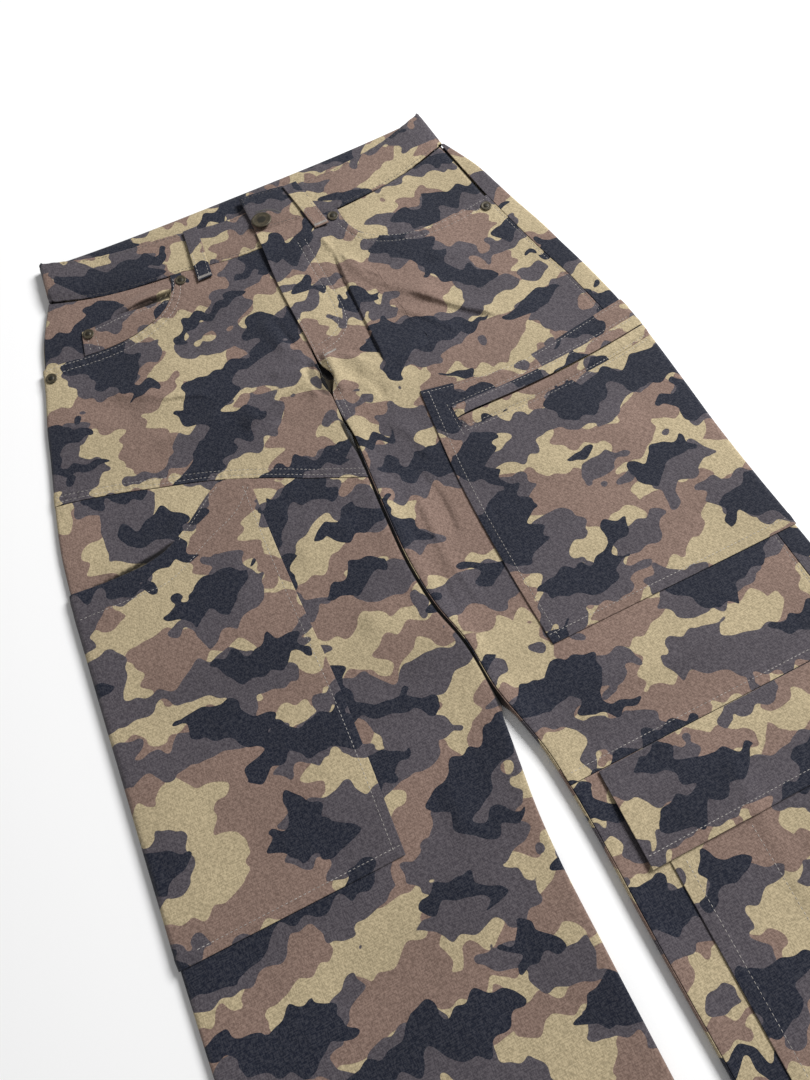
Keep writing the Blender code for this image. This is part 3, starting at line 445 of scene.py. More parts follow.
# Spacing of the grids
EDGE_STEPS = np.array([0.0, 0.05, 0.16, 0.4, 1.0, 1.9, 3.0, 4.3, 6.0])  # in from a border
EDGE_RUN = EDGE_STEPS[-1]
STEP = 2.1
UPPER_STEP = 1.35
LEG_STEP = 2.7
BACK_STEP = 5.0
FACING_STEP = 0.9
COIN_STEP = 2.2
WELT_STEP = 1.6
STRIP_STEP = 1.6
FRONT_LOOP_STEP, BACK_LOOP_STEP = 1.4, 2.5
BAND_STEP, BAND_ROW_STEP = 2.4, 1.8
BAND_BEND_COLUMNS, BAND_BACK_COLUMNS = 14, 120
TURN_STEP = 0.8
MOUTH_POINTS = 60
SETTLE_ROUNDS = 8
UPPER_ROWS = {RIGHT: (UPPER_STEP, 0.0), LEFT: (1.75, 0.3)}  # step, how much closer on top
LEG_FINER = {RIGHT: 0.55, LEFT: 0.0}    # how much closer a leg's rows lie at its top
CREASE_SHARES = (0.155, 0.245)  # of the left upper: closer columns, for its long fold
CREASE_STEP = 0.65
COLUMN_CLEAR = 0.004    # least share between columns of two spacings
# The left back's columns on top, before the outer turned edge
ON_TOP = np.array([0.0, 0.01, 0.03, 0.07, 0.14, 0.24, 0.36, 0.5, 0.66, 0.82])
HALF_TURN = math.pi * TURN
MID_WIDTH = 232.0       # usual width of a front layer

# Where each piece is cut from the printed roll, in metres
CLOTH_NAMES = (
    "waistband", "front_right_upper", "front_right_leg", "front_left_upper",
    "front_left_leg", "back_right", "back_left", "pocket_facing_right",
    "pocket_facing_left", "coin_pocket", "cargo_pocket_right", "thigh_patch_left",
    "welt_upper_left", "welt_lower_left", "cargo_pocket_left", "cargo_flap_left",
    "belt_loop_front_right", "belt_loop_front_left", "belt_loop_back_right",
    "belt_loop_back_centre", "belt_loop_back_left",
)
ROLL_PLACE = {name: (0.731 * k % 2.9, 0.517 * k % 3.7) for k, name in enumerate(CLOTH_NAMES)}

# Looks
BLEED = 0.0015          # softness of a printed outline
FINGERS = 0.036
DRIPS = 0.024
BLOTCH_STRETCH = 1.8
# Each ink's blotches: where in the noise they are read, and their scale
BROWN_BLOTCHES = ((0.4, 0.1), 28.5)
NAVY_BLOTCHES = ((5.2, 2.3), 30.0)
BESIDE_NAVY_BLOTCHES = ((5.199, 2.308), 30.0)
GREY_BLOTCHES = ((9.7, 6.1), 28.5)
BROWN_FROM, GREY_FROM, NAVY_FROM = 0.495, 0.51, 0.58    # the higher, the less of the ink
PRESS_WRINKLES = 0.0009
WEAVE = 0.00007
WARP, WEFT = (1300.0, 330.0, 0.0), (300.0, 1300.0, 0.0)     # fineness of the yarns
WEAVE_SPREAD = (0.76, 1.24)
HEATHER = 0.23          # how far the yarns' shades differ
PALE_YARN = 0.055       # most share of undyed yarn that shows through the print
DEEPEST_PAINTED_SHADE = 0.95          # share of the colour that the deepest painted shade takes away

CAMERA_SPOT = (-0.0789, -0.0352, 0.5739)
CAMERA_FORWARD = (0.1176, 0.3095, -0.9436)
CAMERA_UP = (0.42, 0.8455, 0.3297)
CAMERA_LENS = 26.93
CAMERA_SENSOR = 36.0
FLOOR_HALF = 6.0
FLOOR_Z = -0.0002       # a hair under the garment, so that the two share no plane
KEY_SPOT = (1.95, 0.75, 1.75)
KEY_AIM = (0.0, 0.1, 0.0)
KEY_SIZE = 1.0
KEY_POWER = 100.0
FILL_SPOT = (-1.6, -1.2, 1.9)
FILL_SIZE = 2.2
FILL_POWER = 3.0
SURROUND = 0.26

TOP_Y = BAND_END_Y + BAND_HIGH
MIDDLE_Y = (TOP_Y + HEM_Y) / 2


def place(points):
    """Garment millimetres to metres in the frame."""
    return (np.asarray(points, float) - (0.0, MIDDLE_Y, 0.0)) * MM


def smooth_step(t):
    """0 below 0, 1 above 1, an S between."""
    t = np.clip(t, 0.0, 1.0)
    return t * t * (3.0 - 2.0 * t)


def bell(distance, wide):
    """1 at no distance, down to a third or so at `wide`, nothing far off."""
    return np.exp(-(distance / wide) ** 2)


def fade(distance, run):
    """1 at no distance, and down to a third or so over every `run`."""
    return np.exp(-distance / run)


def eased_ends(along, share):
    """1 along a line, eased to 0 over `share` of it at either end."""
    return smooth_step(along / share) * smooth_step((1 - along) / share)


def read_table(rows, at, column=1):
    """A table's column at any place: a cubic through its rows, level past its ends."""
    table = np.array(rows, float)
    spot, value = table[:, 0], table[:, column]
    slope = np.gradient(value, spot)
    at = np.asarray(at, float)
    i = np.clip(np.searchsorted(spot, at) - 1, 0, len(spot) - 2)
    run = spot[i + 1] - spot[i]
    t = np.clip((at - spot[i]) / run, 0.0, 1.0)
    return ((2 * t**3 - 3 * t**2 + 1) * value[i] + (t**3 - 2 * t**2 + t) * run * slope[i]
            + (3 * t**2 - 2 * t**3) * value[i + 1] + (t**3 - t**2) * run * slope[i + 1])


def sided(rows, side, y):
    """A table's second column on the right, its third on the left."""
    return read_table(rows, y, 1 if side == RIGHT else 2)


def smooth_line(points, count):
    """`count` points evenly spaced along a cubic through the given ones."""
    points = np.array(points, float)
    spot = np.arange(len(points))
    at = np.linspace(0, len(points) - 1, 8 * count)
    fine = np.stack([read_table(np.column_stack([spot, points[:, k]]), at)
                     for k in range(points.shape[1])], axis=-1)
    return even(fine, count)


def even(line, count):
    """The same line with `count` evenly spaced points."""
    run = np.concatenate([[0.0], np.cumsum(np.linalg.norm(np.diff(line, axis=0), axis=1))])
    at = np.linspace(0, run[-1], count)
    return np.stack([np.interp(at, run, line[:, k]) for k in range(line.shape[1])], axis=-1)


def length_of(line):
    """Length of a line of points."""
    return np.linalg.norm(np.diff(line, axis=0), axis=1).sum()


def outer_turn_x(side, y):
    """Where the laid layers meet the outer turned edge."""
    return sided(HALF_WIDTH, side, y) - TURN


def leg_share(y):
    """0 above the crotch, 1 where the inner edges are fully turned."""
    return smooth_step((CROTCH_Y - np.asarray(y)) / CROTCH_RUN)


def least_apart(y):
    """The gap at the centre seam, and between the legs where their edges run together."""
    return GAP + (LEG_GAP - GAP) * smooth_step((CROTCH_Y - np.asarray(y)) / LEG_GAP_RUN)


def legs_apart(y):
    """The whole gap between the inner edges."""
    return least_apart(y) + read_table(INNER_EDGE, y, 2) - read_table(INNER_EDGE, y, 1)


def legs_beside(y):
    """1 where the legs lie side by side, 0 where they have parted."""
    return smooth_step((LEGS_PARTED - legs_apart(y)) / LEGS_CLOSING)


def inner_turn_x(side, y):
    """Where they meet the inner one, or the last stretch before the centre seam."""
    return side * sided(INNER_EDGE, side, y) + least_apart(y) / 2 + TURN


def waist_lift(y):
    """Rise of the back layer near the waist, over the back belt loops."""
    return BACK_LIFT * smooth_step((y - BACK_LIFT_FROM) / (BACK_LIFT_TO - BACK_LIFT_FROM))


def fold_rise(x, y):
    """Sum of the broad folds: a bell across each line, eased to nothing at its ends."""
    rise = np.zeros(np.broadcast(x, y).shape)
    for fold in FOLDS:
        run_x, run_y = fold.x1 - fold.x0, fold.y1 - fold.y0
        length = math.hypot(run_x, run_y)
        along = ((x - fold.x0) * run_x + (y - fold.y0) * run_y) / length**2
        across = ((x - fold.x0) * run_y - (y - fold.y0) * run_x) / length
        rise = rise + fold.rise * eased_ends(along, FOLD_ENDS) * bell(across, fold.width)
    return rise


def nearest(line, x, y):
    """Distance from a line of points, which side of it, and how far along, 0 to 1."""
    best = np.full(x.shape, np.inf)
    side, along = np.zeros(x.shape), np.zeros(x.shape)
    for k, (start, stop) in enumerate(zip(line[:-1], line[1:])):
        run_x, run_y = stop - start
        off_x, off_y = x - start[0], y - start[1]
        t = np.clip((off_x * run_x + off_y * run_y) / (run_x**2 + run_y**2), 0, 1)
        distance = np.hypot(off_x - t * run_x, off_y - t * run_y)
        closer = distance < best
        best = np.where(closer, distance, best)
        side = np.where(closer, np.sign(run_x * off_y - run_y * off_x), side)
        along = np.where(closer, (k + t) / (len(line) - 1), along)
    return best, side, along


def crease_rise(creases, x, y):
    """Sum of the creases: a bell with unlike flanks across each smooth line, swelling
    and fading along it."""
    x, y = np.broadcast_arrays(x, y)
    rise = np.zeros(x.shape)
    for crease in creases:
        line = smooth_line(crease.points, LINE_POINTS)
        reach = CREASE_REACH * max(crease.left, crease.right)
        near = ((x > line[:, 0].min() - reach) & (x < line[:, 0].max() + reach)
                & (y > line[:, 1].min() - reach) & (y < line[:, 1].max() + reach))
        away, side, along = nearest(line, x[near], y[near])
        flank = np.where(side > 0, crease.left, crease.right)
        swell = 1 + CREASE_SWELL * np.sin(CREASE_WAVES * along + line[0].sum())
        rise[near] += crease.rise * eased_ends(along, CREASE_ENDS) * swell * bell(away, flank)
    return rise


def front_relief(x, y):
    """The front's folds and creases together, within the room over the back layer."""
    return np.clip(fold_rise(x, y) + crease_rise(FRONT_CREASES, x, y), *FOLD_LIMITS)


def fly_lift(side, x, y):
    """The wearer's left front lies over the right one down the fly."""
    if side == RIGHT:
        return 0.0 * x
    beside = 1 - smooth_step((x - inner_turn_x(side, y) - FLY_WIDE) / FLY_EASE)
    fly = PATCH_STEP * beside * smooth_step((y - FLY_RISE_FROM) / FLY_RISE_RUN)
    past_end = (x - BAND_LAP_RIGHT_X - FLY_WIDE / 2) / FLY_EASE
    over_band = OVER_BAND_STEP * (1 - smooth_step(past_end))
    near = smooth_step((y - NEAR_BAND_Y) / NEAR_BAND_RUN)
    return fly * (1 - near) + over_band * near


def front_height(side, x, y):
    """Outer face of the front layer: level, raised to the turned edges, with its folds
    and creases."""
    outer = smooth_step(1 - (outer_turn_x(side, y) - x) / EDGE_EASE)
    inner = leg_share(y) * smooth_step(1 - (x - inner_turn_x(side, y)) / EDGE_EASE)
    edge = 1 - (1 - outer) * (1 - inner)
    laid = REST + (2 * TURN - REST) * edge + (1 - edge) * front_relief(side * x, y)
    from_edge = np.maximum(x - inner_turn_x(side, y), 0)
    puff = sided(PUFF, side, y) * bell(from_edge, PUFF_WIDE)
    return laid + puff + fly_lift(side, x, y) + waist_lift(y)


def on_form(side, station, y, out):
    """A point of the garment's loop, moved out of its outer face by `out`.

    Stations: -1 to 0 is the inner turned edge from the back up to the front, 0 to 1
    the front layer, 1 to 2 the outer turned edge, 2 to 3 the back layer, 3 to 4 the
    inner edge again.  Above the crotch the inner edge is opened out flat.
    """
    station, y, out = np.broadcast_arrays(*(np.asarray(a, float) for a in (station, y, out)))
    x_out, x_in, floor = outer_turn_x(side, y), inner_turn_x(side, y), waist_lift(y)
    wide, middle, run = CROTCH_PART
    part = wide * CROTCH_SHARE[side] * bell(y - middle, run) * (station < 2)
    laid = x_in + part + np.clip(station, 0, 1) * (x_out - x_in - part)
    under = x_out + np.clip(station - 2, 0, 1) * (x_in - x_out)
    turn = np.clip(station - 1, 0, 1) * math.pi
    x_edge = x_out + (TURN + out) * np.sin(turn)
    z_edge = floor + TURN + (TURN + out) * np.cos(turn)
    half = (front_height(side, x_in, y) - floor) / 2
    angle = np.where(station < 0, -station, 4 - station) * math.pi
    tuck = LEG_TUCK * legs_apart(y) * legs_beside(y) * (1 - np.cos(angle)) / 2
    x_leg = x_in - (TURN + out + tuck) * np.maximum(np.sin(angle), 0.0) ** SQUARE
    z_leg = floor + half + (half + out) * np.sign(np.cos(angle)) * np.abs(np.cos(angle)) ** SQUARE
    share = np.where(station < 0, -station / INSEAM_AT[side],
                     (station - 3) / (1 - INSEAM_AT[side]))
    x_hip = x_in + part - TURN * share
    z_hip = np.where(station < 0, front_height(side, x_hip, y) + out, floor - out)
    legs = leg_share(y)
    inner = (station < 0) | (station > 3)
    x = np.where(station <= 1, laid, np.where(station < 2, x_edge, under))
    z = np.where(station <= 1, front_height(side, laid, y) + out,
                 np.where(station < 2, z_edge, floor - out))
    x = np.where(inner, legs * x_leg + (1 - legs) * x_hip, x)
    z = np.where(inner, legs * z_leg + (1 - legs) * z_hip, z)
    return np.stack([side * x, y, z], axis=-1)


def along_cloth(side, station, y):
    """Distance round the loop from the middle line, measured on the cloth."""
    x_out, x_in = outer_turn_x(side, y), inner_turn_x(side, y)
    flat = np.clip(station, 0, 1) + np.clip(station - 2, 0, 1)
    bent = np.clip(station, -1, 0) + np.clip(station - 1, 0, 1) + np.clip(station - 3, 0, 1)
    return side * (x_in + flat * (x_out - x_in) + HALF_TURN * bent)


def station_of(side, x, y):
    """The front layer's station at a distance x from the middle line."""
    x_in = inner_turn_x(side, y)
    return (x - x_in) / (outer_turn_x(side, y) - x_in)


def side_seam(side, y):
    """Station of the side seam."""
    if side == RIGHT:
        return RIGHT_SEAM_AT + 0.0 * y
    return np.minimum(station_of(side, read_table(LEFT_SIDE_SEAM, y), y), 1.0)


def band_foot(x, dip=FRONT_DIP):
    """Lower edge of the waistband: lowest in the middle, by a cubic."""
    return BAND_END_Y - dip * (1 - np.clip(np.abs(x) / BAND_HALF, 0, 1) ** 3)


def front_foot(side, x):
    """The same on the front, where the two ends don't quite meet at the fly."""
    start = BAND_LAP_LEFT_X if side == LEFT else BAND_DROOP_X
    beside = smooth_step(1 - (side * x - side * start) / FLY_SHIFT_RUN)
    return band_foot(x) + side * FLY_SHIFT * beside


def loop_ends(foot):
    """Heights of a belt loop's top and foot, where the band's lower edge is at `foot`."""
    return foot + BAND_HIGH - LOOP_TOP_IN, foot - LOOP_BELOW


def mouth_start(side):
    """Station where the front pocket's mouth leaves the band."""
    return station_of(side, SCOOP[side].start, FRONT_WAIST_Y)


def scoop_y(side, station):
    """Edge of the front pocket's mouth: a rounded quarter from the band to the side."""
    scoop = SCOOP[side]
    share = np.clip((1 - station) / (1 - mouth_start(side)), 0, 1)
    drop = scoop.depth * (1 - share**SCOOP_POWER) ** (1 / SCOOP_POWER)
    drop = drop - scoop.end_rise * smooth_step(1 - share * 1.5)
    return float(front_foot(side, side * scoop.start)) - GAP - drop


# ---- Seam lines and stitch rows ---------------------------------------------------
def beside(line, off):
    """The line moved sideways by `off`, to the left of its run."""
    run = np.gradient(np.asarray(line, float), axis=0)
    run = run / np.linalg.norm(run, axis=1, keepdims=True)
    return line + off * np.stack([-run[:, 1], run[:, 0]], axis=-1)


def level_line(rows, x0, x1, count=40):
    """Points of a seam that is given as heights over x."""
    x = np.linspace(x0, x1, count)
    return np.stack([x, read_table(rows, x)], axis=-1)


def upright_line(rows, y0, y1, off=0.0, column=1, count=40):
    """Points of a seam that is given as places over the height, moved by `off`."""
    y = np.linspace(y0, y1, count)
    return np.stack([read_table(rows, y, column) + off, y], axis=-1)


def straight(x0, y0, x1, y1, count=12):
    """Points of a straight line."""
    return np.linspace((x0, y0), (x1, y1), count)


def bend_shares(start, count, first=0.0):
    """Stations from `start` to 1, closest together at the start."""
    return start + (1 - start) * (1 - np.cos(np.linspace(first, math.pi / 2, count)))


def scoop_line(side, below, skip=0):
    """The front pocket's mouth from the band to the side seam, moved into the panel."""
    station = bend_shares(mouth_start(side), MOUTH_POINTS, 0.03)
    y = scoop_y(side, station)
    x = inner_turn_x(side, y) + station * (outer_turn_x(side, y) - inner_turn_x(side, y))
    line = np.stack([side * x, y], axis=-1)
    return even(beside(line, -side * below), MOUTH_POINTS)[skip:]


Row = namedtuple("Row", "line pitch length crosswise", defaults=(3.2, 2.3, False))


def tack(x0, y0, x1, y1, length=2.2):
    """A bar tack: threads laid close together across a short line."""
    return Row(straight(x0, y0, x1, y1, 6), 0.5, length, True)


def row_down(x, top, foot, count=12):
    """A straight row of stitches down the cloth."""
    return Row(straight(x, top, x, foot, count))


def row_across(y, start, stop, count=12):
    """A straight row of stitches across the cloth."""
    return Row(straight(start, y, stop, y, count))


def mouth_rows(side):
    """The two stitch rows along a front pocket's mouth."""
    near, far = MOUTH_ROWS
    return [Row(scoop_line(side, near)), Row(scoop_line(side, far, 3))]


def front_rows():
    """Stitch rows of the front panels."""
    seam = level_line(THIGH_SEAM, -234.0, -12.0)
    centre = upright_line(INNER_EDGE, -146.0, -204.0, 2.5, 2)
    fly_edge = upright_line(INNER_EDGE, -106.0, -138.0, 2.6, 2, 20)
    fly = smooth_line(FLY_STITCH, 60)
    hem = HEM_Y + HEM_HIGH
    return {
        "front_right_upper": [Row(beside(seam, off)) for off in SEAM_ROWS] + mouth_rows(RIGHT),
        "front_right_leg": [row_across(hem, -250.0, -22.0, 40)],
        "front_left_upper": mouth_rows(LEFT) + [
            Row(fly), Row(beside(fly, -6.8)), Row(fly_edge), Row(centre),
            Row(beside(centre, 5.0)),
            Row(upright_line(LEFT_SIDE_SEAM, -80.0, -520.0, -SIDE_ROW, count=60)),
            row_across(KNEE_SEAM_Y + FOOT_ROW, 20.0, SIDE_ROWS_X, 40),
            tack(2.0, -149.5, 13.0, -146.5)],
        "front_left_leg": [
            Row(upright_line(LEFT_SIDE_SEAM, -532.0, HEM_Y + 2, -SIDE_ROW, count=60)),
            row_across(hem, 28.0, SIDE_ROWS_X, 40)],
    }


def coin_rows():
    """Two stitch rows down the coin pocket's side, from under its rivet, and one along
    its mouth."""
    mouth = level_line(COIN_TOP, -157.0, -92.0)
    return {"coin_pocket": [
        Row(straight(-167.0, -46.5, -168.5, -61.5)), Row(straight(-160.0, -46.0, -161.5, -63.0)),
        Row(beside(mouth, -3.0))]}


def thigh_rows():
    """Stitch rows of the thigh pockets."""
    top = level_line(LEFT_PATCH_TOP, 60.0, SIDE_ROWS_X)
    slit = level_line(WELT_SLIT, WELT_START + 2.5, SIDE_ROWS_X)
    start = WELT_START
    mouth = level_line(POCKET_MOUTH, -161.0, -121.0)
    front = upright_line(RIGHT_POCKET_FRONT, -226.0, -510.0, -6.5)
    return {
        "cargo_pocket_right": [
            Row(beside(mouth, -2.2)), Row(smooth_line(MOUTH_HEM, 50)), Row(front),
            row_across(RIGHT_POCKET_FOOT + FOOT_ROW, -246.0, -105.0, 30),
            tack(-168.4, -246.2, -164.0, -243.2)],
        "thigh_patch_left": [
            Row(beside(top, -2.4)),
            Row(upright_line(LEFT_PATCH_FRONT, -217.0, -434.0, 6.5)),
            row_across(LEFT_PATCH_FOOT + FOOT_ROW, 54.0, 250.0, 40),
            Row(beside(slit, WELT_HIGH + 2.0)), Row(beside(slit, -WELT_HIGH - 2.0)),
            row_down(start - 2.2, -233.5, -261.0)],
        "welt_upper_left": [
            Row(beside(slit, WELT_HIGH - 1.8)),
            row_down(start + 2.0, -237.5, -245.5, 6)],
        "welt_lower_left": [
            Row(beside(slit, -WELT_HIGH + 1.8)),
            row_down(start + 2.0, -248.5, -256.5, 6)],
    }


def lower_rows():
    """Stitch rows of the lower pocket and its flap."""
    pocket, flap = LEFT_POCKET, LEFT_FLAP
    inner, outer, foot = pocket["inner"], pocket["outer"], pocket["foot"]
    first, last, low = flap["inner"], flap["outer"], flap["foot"]
    return {
        "cargo_pocket_left": [
            row_down(inner + 9.5, FLAP_ROW_TOP, foot + 9),
            row_down(outer - 2.2, FLAP_ROW_TOP, foot + 3),
            row_across(foot + 2.2, inner + 3, outer - 3, 30),
            row_down(pocket["pleat"] - 8.5, FLAP_ROW_TOP, foot + 3)],
        "cargo_flap_left": [row_across(low + 8.5, first + 3.0, last - 3.0, 40)],
    }


def band_rows():
    """Stitch rows of the band: along both edges and up its left end, then the
    buttonhole beside the button."""
    rows = []
    for side, start in ((RIGHT, -2.0), (LEFT, 0.5)):
        x = np.linspace(start, side * 176.0, 70)
        for up in (BAND_STITCH_IN, BAND_HIGH - BAND_STITCH_IN):
            narrow = 1 - up / BAND_HIGH * (1 - BAND_TOP_HALF / BAND_HALF)
            rows.append(Row(np.stack([x * narrow, front_foot(side, x) + up], axis=-1)))
    foot = float(front_foot(LEFT, BAND_LAP_LEFT_X))
    rows.append(Row(straight(1.0, foot + 3.0, 0.8, foot + 37.0)))
    rows.append(Row(smooth_line(BUTTONHOLE, 30), 0.55, 2.4, True))
    return rows


def loop_rows():
    """Stitch rows of the front belt loops: along both edges low down, and a bar tack
    at the foot."""
    rows = {}
    for name, (side, x_top, x_foot) in FRONT_LOOPS.items():
        high, low = loop_ends(float(front_foot(side, x_foot)))
        off = LOOP_WIDE / 2 - LOOP_STITCH_IN
        lean = (x_foot - x_top) / (high - low)
        x_tack, x_mid = x_foot - 3.0 * lean, x_foot - LOOP_ROWS * lean
        rows[name] = [
            Row(straight(x_mid - off, low + LOOP_ROWS, x_foot - off, low + 4)),
            Row(straight(x_mid + off, low + LOOP_ROWS, x_foot + off, low + 4)),
            tack(x_tack - 5.6, low + 2.4, x_tack + 5.6, low + 2.4, 2.8)]
    return rows


ROWS = {**front_rows(), **coin_rows(), **thigh_rows(), **lower_rows(), **loop_rows(),
        "waistband": band_rows()}


def sewn(name, x, y):
    """Relief that a piece's stitch rows leave: a groove, with puckers beside it."""
    relief = np.zeros(x.shape)
    for k, row in enumerate(ROWS.get(name, ())):
        if row.crosswise:
            continue
        away, _, along = nearest(even(row.line, ROW_POINTS), x, y)
        turns = along * length_of(row.line) / PUCKER_RUN
        wave = np.sin(turns * 2 * math.pi + 1.7 * k) + 0.7 * np.sin(turns * 3.4 * math.pi)
        relief -= PRESS * bell(away, PRESS_WIDE)
        relief += PUCKER * wave * bell(away, PUCKER_WIDE)
    return relief


def doubled(distance, high, wide=9.0):
    """A turned-in edge: the cloth lies double, and a little higher, over `wide`."""
    return high * (1 - smooth_step((distance - wide) / DOUBLED_EASE))


# ---- Meshes -----------------------------------------------------------------------
PIECES = {}             # the cloth pieces made so far, by name


def make_mesh(name, points, faces, uv=None, **shares):
    """One object from frame points; `uv` and each of `shares`, which become attributes,
    hold one value for each point."""
    mesh = bpy.data.meshes.new(name)
    mesh.from_pydata(points.tolist(), [], faces)
    corner = np.zeros(len(mesh.loops), int)
    mesh.loops.foreach_get("vertex_index", corner)
    if uv is not None:
        layer = mesh.uv_layers.new(name="cloth")
        layer.data.foreach_set("uv", np.ascontiguousarray(uv[corner], np.float32).ravel())
    for word, share in shares.items():
        layer = mesh.attributes.new(word, "FLOAT", "POINT")
        layer.data.foreach_set("value", np.ascontiguousarray(share, np.float32))
    mesh.shade_smooth()
    made = bpy.data.objects.new(name, mesh)
    bpy.context.scene.collection.objects.link(made)
    return made


def grid_faces(rows, columns):
    """Four-cornered faces of a grid of points."""
    index = np.arange(rows * columns).reshape(rows, columns)
    return np.stack([index[:-1, :-1], index[1:, :-1], index[1:, 1:], index[:-1, 1:]],
                    axis=-1).reshape(-1, 4)


def shell(name, outer, inner, u, v, dark=None):
    """A closed shell: the outer grid whole, and behind it the inner one with every
    third row and column, joined to the outer grid's border.

    `u` and `v` are the cloth's own coordinates; they give the piece's cut size and its
    place on the printed roll.  `dark` is the painted shade in its hollows and between the
    legs, which darkens its colour.
    """
    rows, columns = outer.shape[:2]
    index = np.arange(rows * columns).reshape(rows, columns)
    kept_rows, kept_columns = np.arange(3, rows - 3, 3), np.arange(3, columns - 3, 3)
    kept = np.ix_(kept_rows, kept_columns)
    back = np.arange(kept_rows.size * kept_columns.size).reshape(kept_rows.size, -1)
    back = back + index.size
    points = np.concatenate([outer.reshape(-1, 3), inner[kept].reshape(-1, 3)])
    fronts = grid_faces(rows, columns)
    backs = grid_faces(*back.shape)[:, ::-1] + index.size
    faces = fronts.tolist() + backs.tolist() + border_faces(index, back, kept_rows, kept_columns)
    a, b, c = points[fronts[len(fronts) // 2 + columns // 2][:3]]
    behind = inner[rows // 2, columns // 2] - outer[rows // 2, columns // 2]
    if np.dot(np.cross(b - a, c - b), behind) > 0:
        faces = [face[::-1] for face in faces]
    note_cut(u, v)
    uv = np.stack([u, v], axis=-1) * MM + ROLL_PLACE[name]
    uv = np.concatenate([uv.reshape(-1, 2), uv[kept].reshape(-1, 2)])
    # painted shade: the `dark` attribute darkens the cloth's colour; none unless given
    dark = 0 * u if dark is None else dark
    dark = np.concatenate([dark.ravel(), dark[kept].ravel()])
    PIECES[name] = make_mesh(f"{name}_twill", place(points), faces, uv, dark=dark)


def border_faces(index, back, kept_rows, kept_columns):
    """Faces from the outer grid's border to the border of the sparser grid behind it."""
    last_row, last_column = index.shape[0] - 1, index.shape[1] - 1
    border = np.concatenate([index[0, :-1], index[:-1, -1], index[-1, :0:-1], index[:0:-1, 0]])
    posts = np.concatenate([
        kept_columns, last_column + kept_rows,
        2 * last_column + last_row - kept_columns[::-1],
        2 * (last_column + last_row) - kept_rows[::-1]])
    ring = np.concatenate([back[0], back[:, -1], back[-1, ::-1], back[::-1, 0]]).tolist()
    loop = np.concatenate([border, border]).tolist()
    stops = np.append(posts[1:], posts[0] + border.size)
    return [loop[start:stop + 1] + ([after, now] if after != now else [now])
            for start, stop, now, after in zip(posts, stops, ring, ring[1:] + ring[:1])]


def border_distance(u, v):
    """Distance of each grid point to the nearest border, on the cloth."""
    return np.minimum.reduce([np.abs(u - u[:, :1]), np.abs(u - u[:, -1:]),
                              np.abs(v - v[:1]), np.abs(v - v[-1:])])


def note_cut(u, v):
    """Areas of a piece's grid cells on the cloth, from its cloth coordinates; they are worked out
    and not kept.
    """
    cells = np.abs((u[:-1, 1:] - u[:-1, :-1]) * (v[1:, :-1] - v[:-1, :-1]))


def roll(distance, radius):
    """Drop of a rounded border: a quarter circle over the last `radius`."""
    t = 1 - np.clip(distance / radius, 0, 1)
    return radius * (1 - np.sqrt(1 - t * t))


def down_rows(top, bottom, step, finer=0.0):
    """Heights from one border to the other: close together at both, even between or,
    with `finer`, closer towards the top."""
    length = top - bottom
    near = EDGE_STEPS[:, None] * np.minimum(1.0, length / (3 * EDGE_RUN))
    count = max(3, int(np.ceil((length.max() - 2 * EDGE_RUN) / step)))
    share = np.linspace(0, 1, count + 1)[1:-1, None]
    share = share - finer * share * (1 - share)
    between = (top - near[-1]) * (1 - share) + (bottom + near[-1]) * share
    return np.concatenate([top - near, between, (bottom + near)[::-1]])


def across(start, stop, step, first=True, last=True):
    """Places from start to stop: close together at a border, even between."""
    near = EDGE_STEPS * min(1.0, abs(stop - start) / (3 * EDGE_RUN))
    near = near if stop > start else -near
    head = start + near if first else np.array([start])
    tail = stop - near[::-1] if last else np.array([stop])
    count = max(2, int(abs(tail[0] - head[-1]) / step) + 1)
    return np.concatenate([head, np.linspace(head[-1], tail[0], count + 1)[1:-1], tail])


def settle(side, columns, curve, y_start):
    """Heights where each column meets a border: `curve` gives its height over x, as a
    function or as a table.  They are found in a few rounds, from a height nearby."""
    height = curve if callable(curve) else lambda x: read_table(curve, x)
    y = columns.level(y_start)
    for _ in range(SETTLE_ROUNDS):
        y = height(on_form(side, columns(y), y, 0.0)[:, 0])
    return y


def painted_hollow_shade(name, x, y):
    """Painted shade of a piece in its hollows: even within their half widths."""
    dark = np.zeros(x.shape)
    for hollow in PAINTED_SHADES.get(name, ()):
        line = smooth_line(hollow.points, LINE_POINTS)
        away, _, along = nearest(line[:, :2], x, y)
        half = np.interp(along, np.linspace(0, 1, len(line)), line[:, 2])
        dark = np.maximum(dark, hollow.dark * np.exp(-(away / half) ** 4))
    return dark


def painted_shade_between_legs(at, y):
    """Painted shade between the legs: 1 where an inner edge has turned down beside the other leg, 0
    on top.
    """
    angle = 180 * np.where(at < 0, -at, np.where(at > 3, 4 - at, 0))
    turned_down = smooth_step((angle - PAINTED_SHADE_FROM * leg_share(y)) / PAINTED_SHADE_OVER)
    return turned_down * smooth_step((CROTCH_Y - y) / PAINTED_SHADE_RUN) * legs_beside(y)


def panel(name, side, columns, top, bottom, step, rise, level=0.0, finer=0.0):
    """A shell of the garment's form between two borders.

    `columns` gives its stations, `top` and `bottom` the columns' heights; the outer
    face lies `level` out of the form, with the relief rise(x, y, distances), where the
    distances are those to the four borders; borders are rounded over half the cloth.
    """
    y = down_rows(top, bottom, step, finer)
    at = columns(y)
    u = along_cloth(side, at, y)
    distances = top - y, y - bottom, np.abs(u - u[:, :1]), np.abs(u - u[:, -1:])
    flat = on_form(side, at, y, level)
    relief = rise(flat[..., 0], flat[..., 1], distances)
    drop = roll(np.minimum.reduce(distances), CLOTH / 2)
    outer = on_form(side, at, y, level + relief - drop)
    crease = front_relief(outer[..., 0], y) * (at < 1)
    inner = on_form(side, at, y, level + relief - CLOTH + drop - (crease - lowest(crease)))
    # painted shade, which darkens the colour: in the piece's hollows and where an inner edge turns
    # down between the legs
    dark = np.maximum(painted_hollow_shade(name, outer[..., 0], y), painted_shade_between_legs(at, y))
    shell(name, outer, inner, u, y, dark)


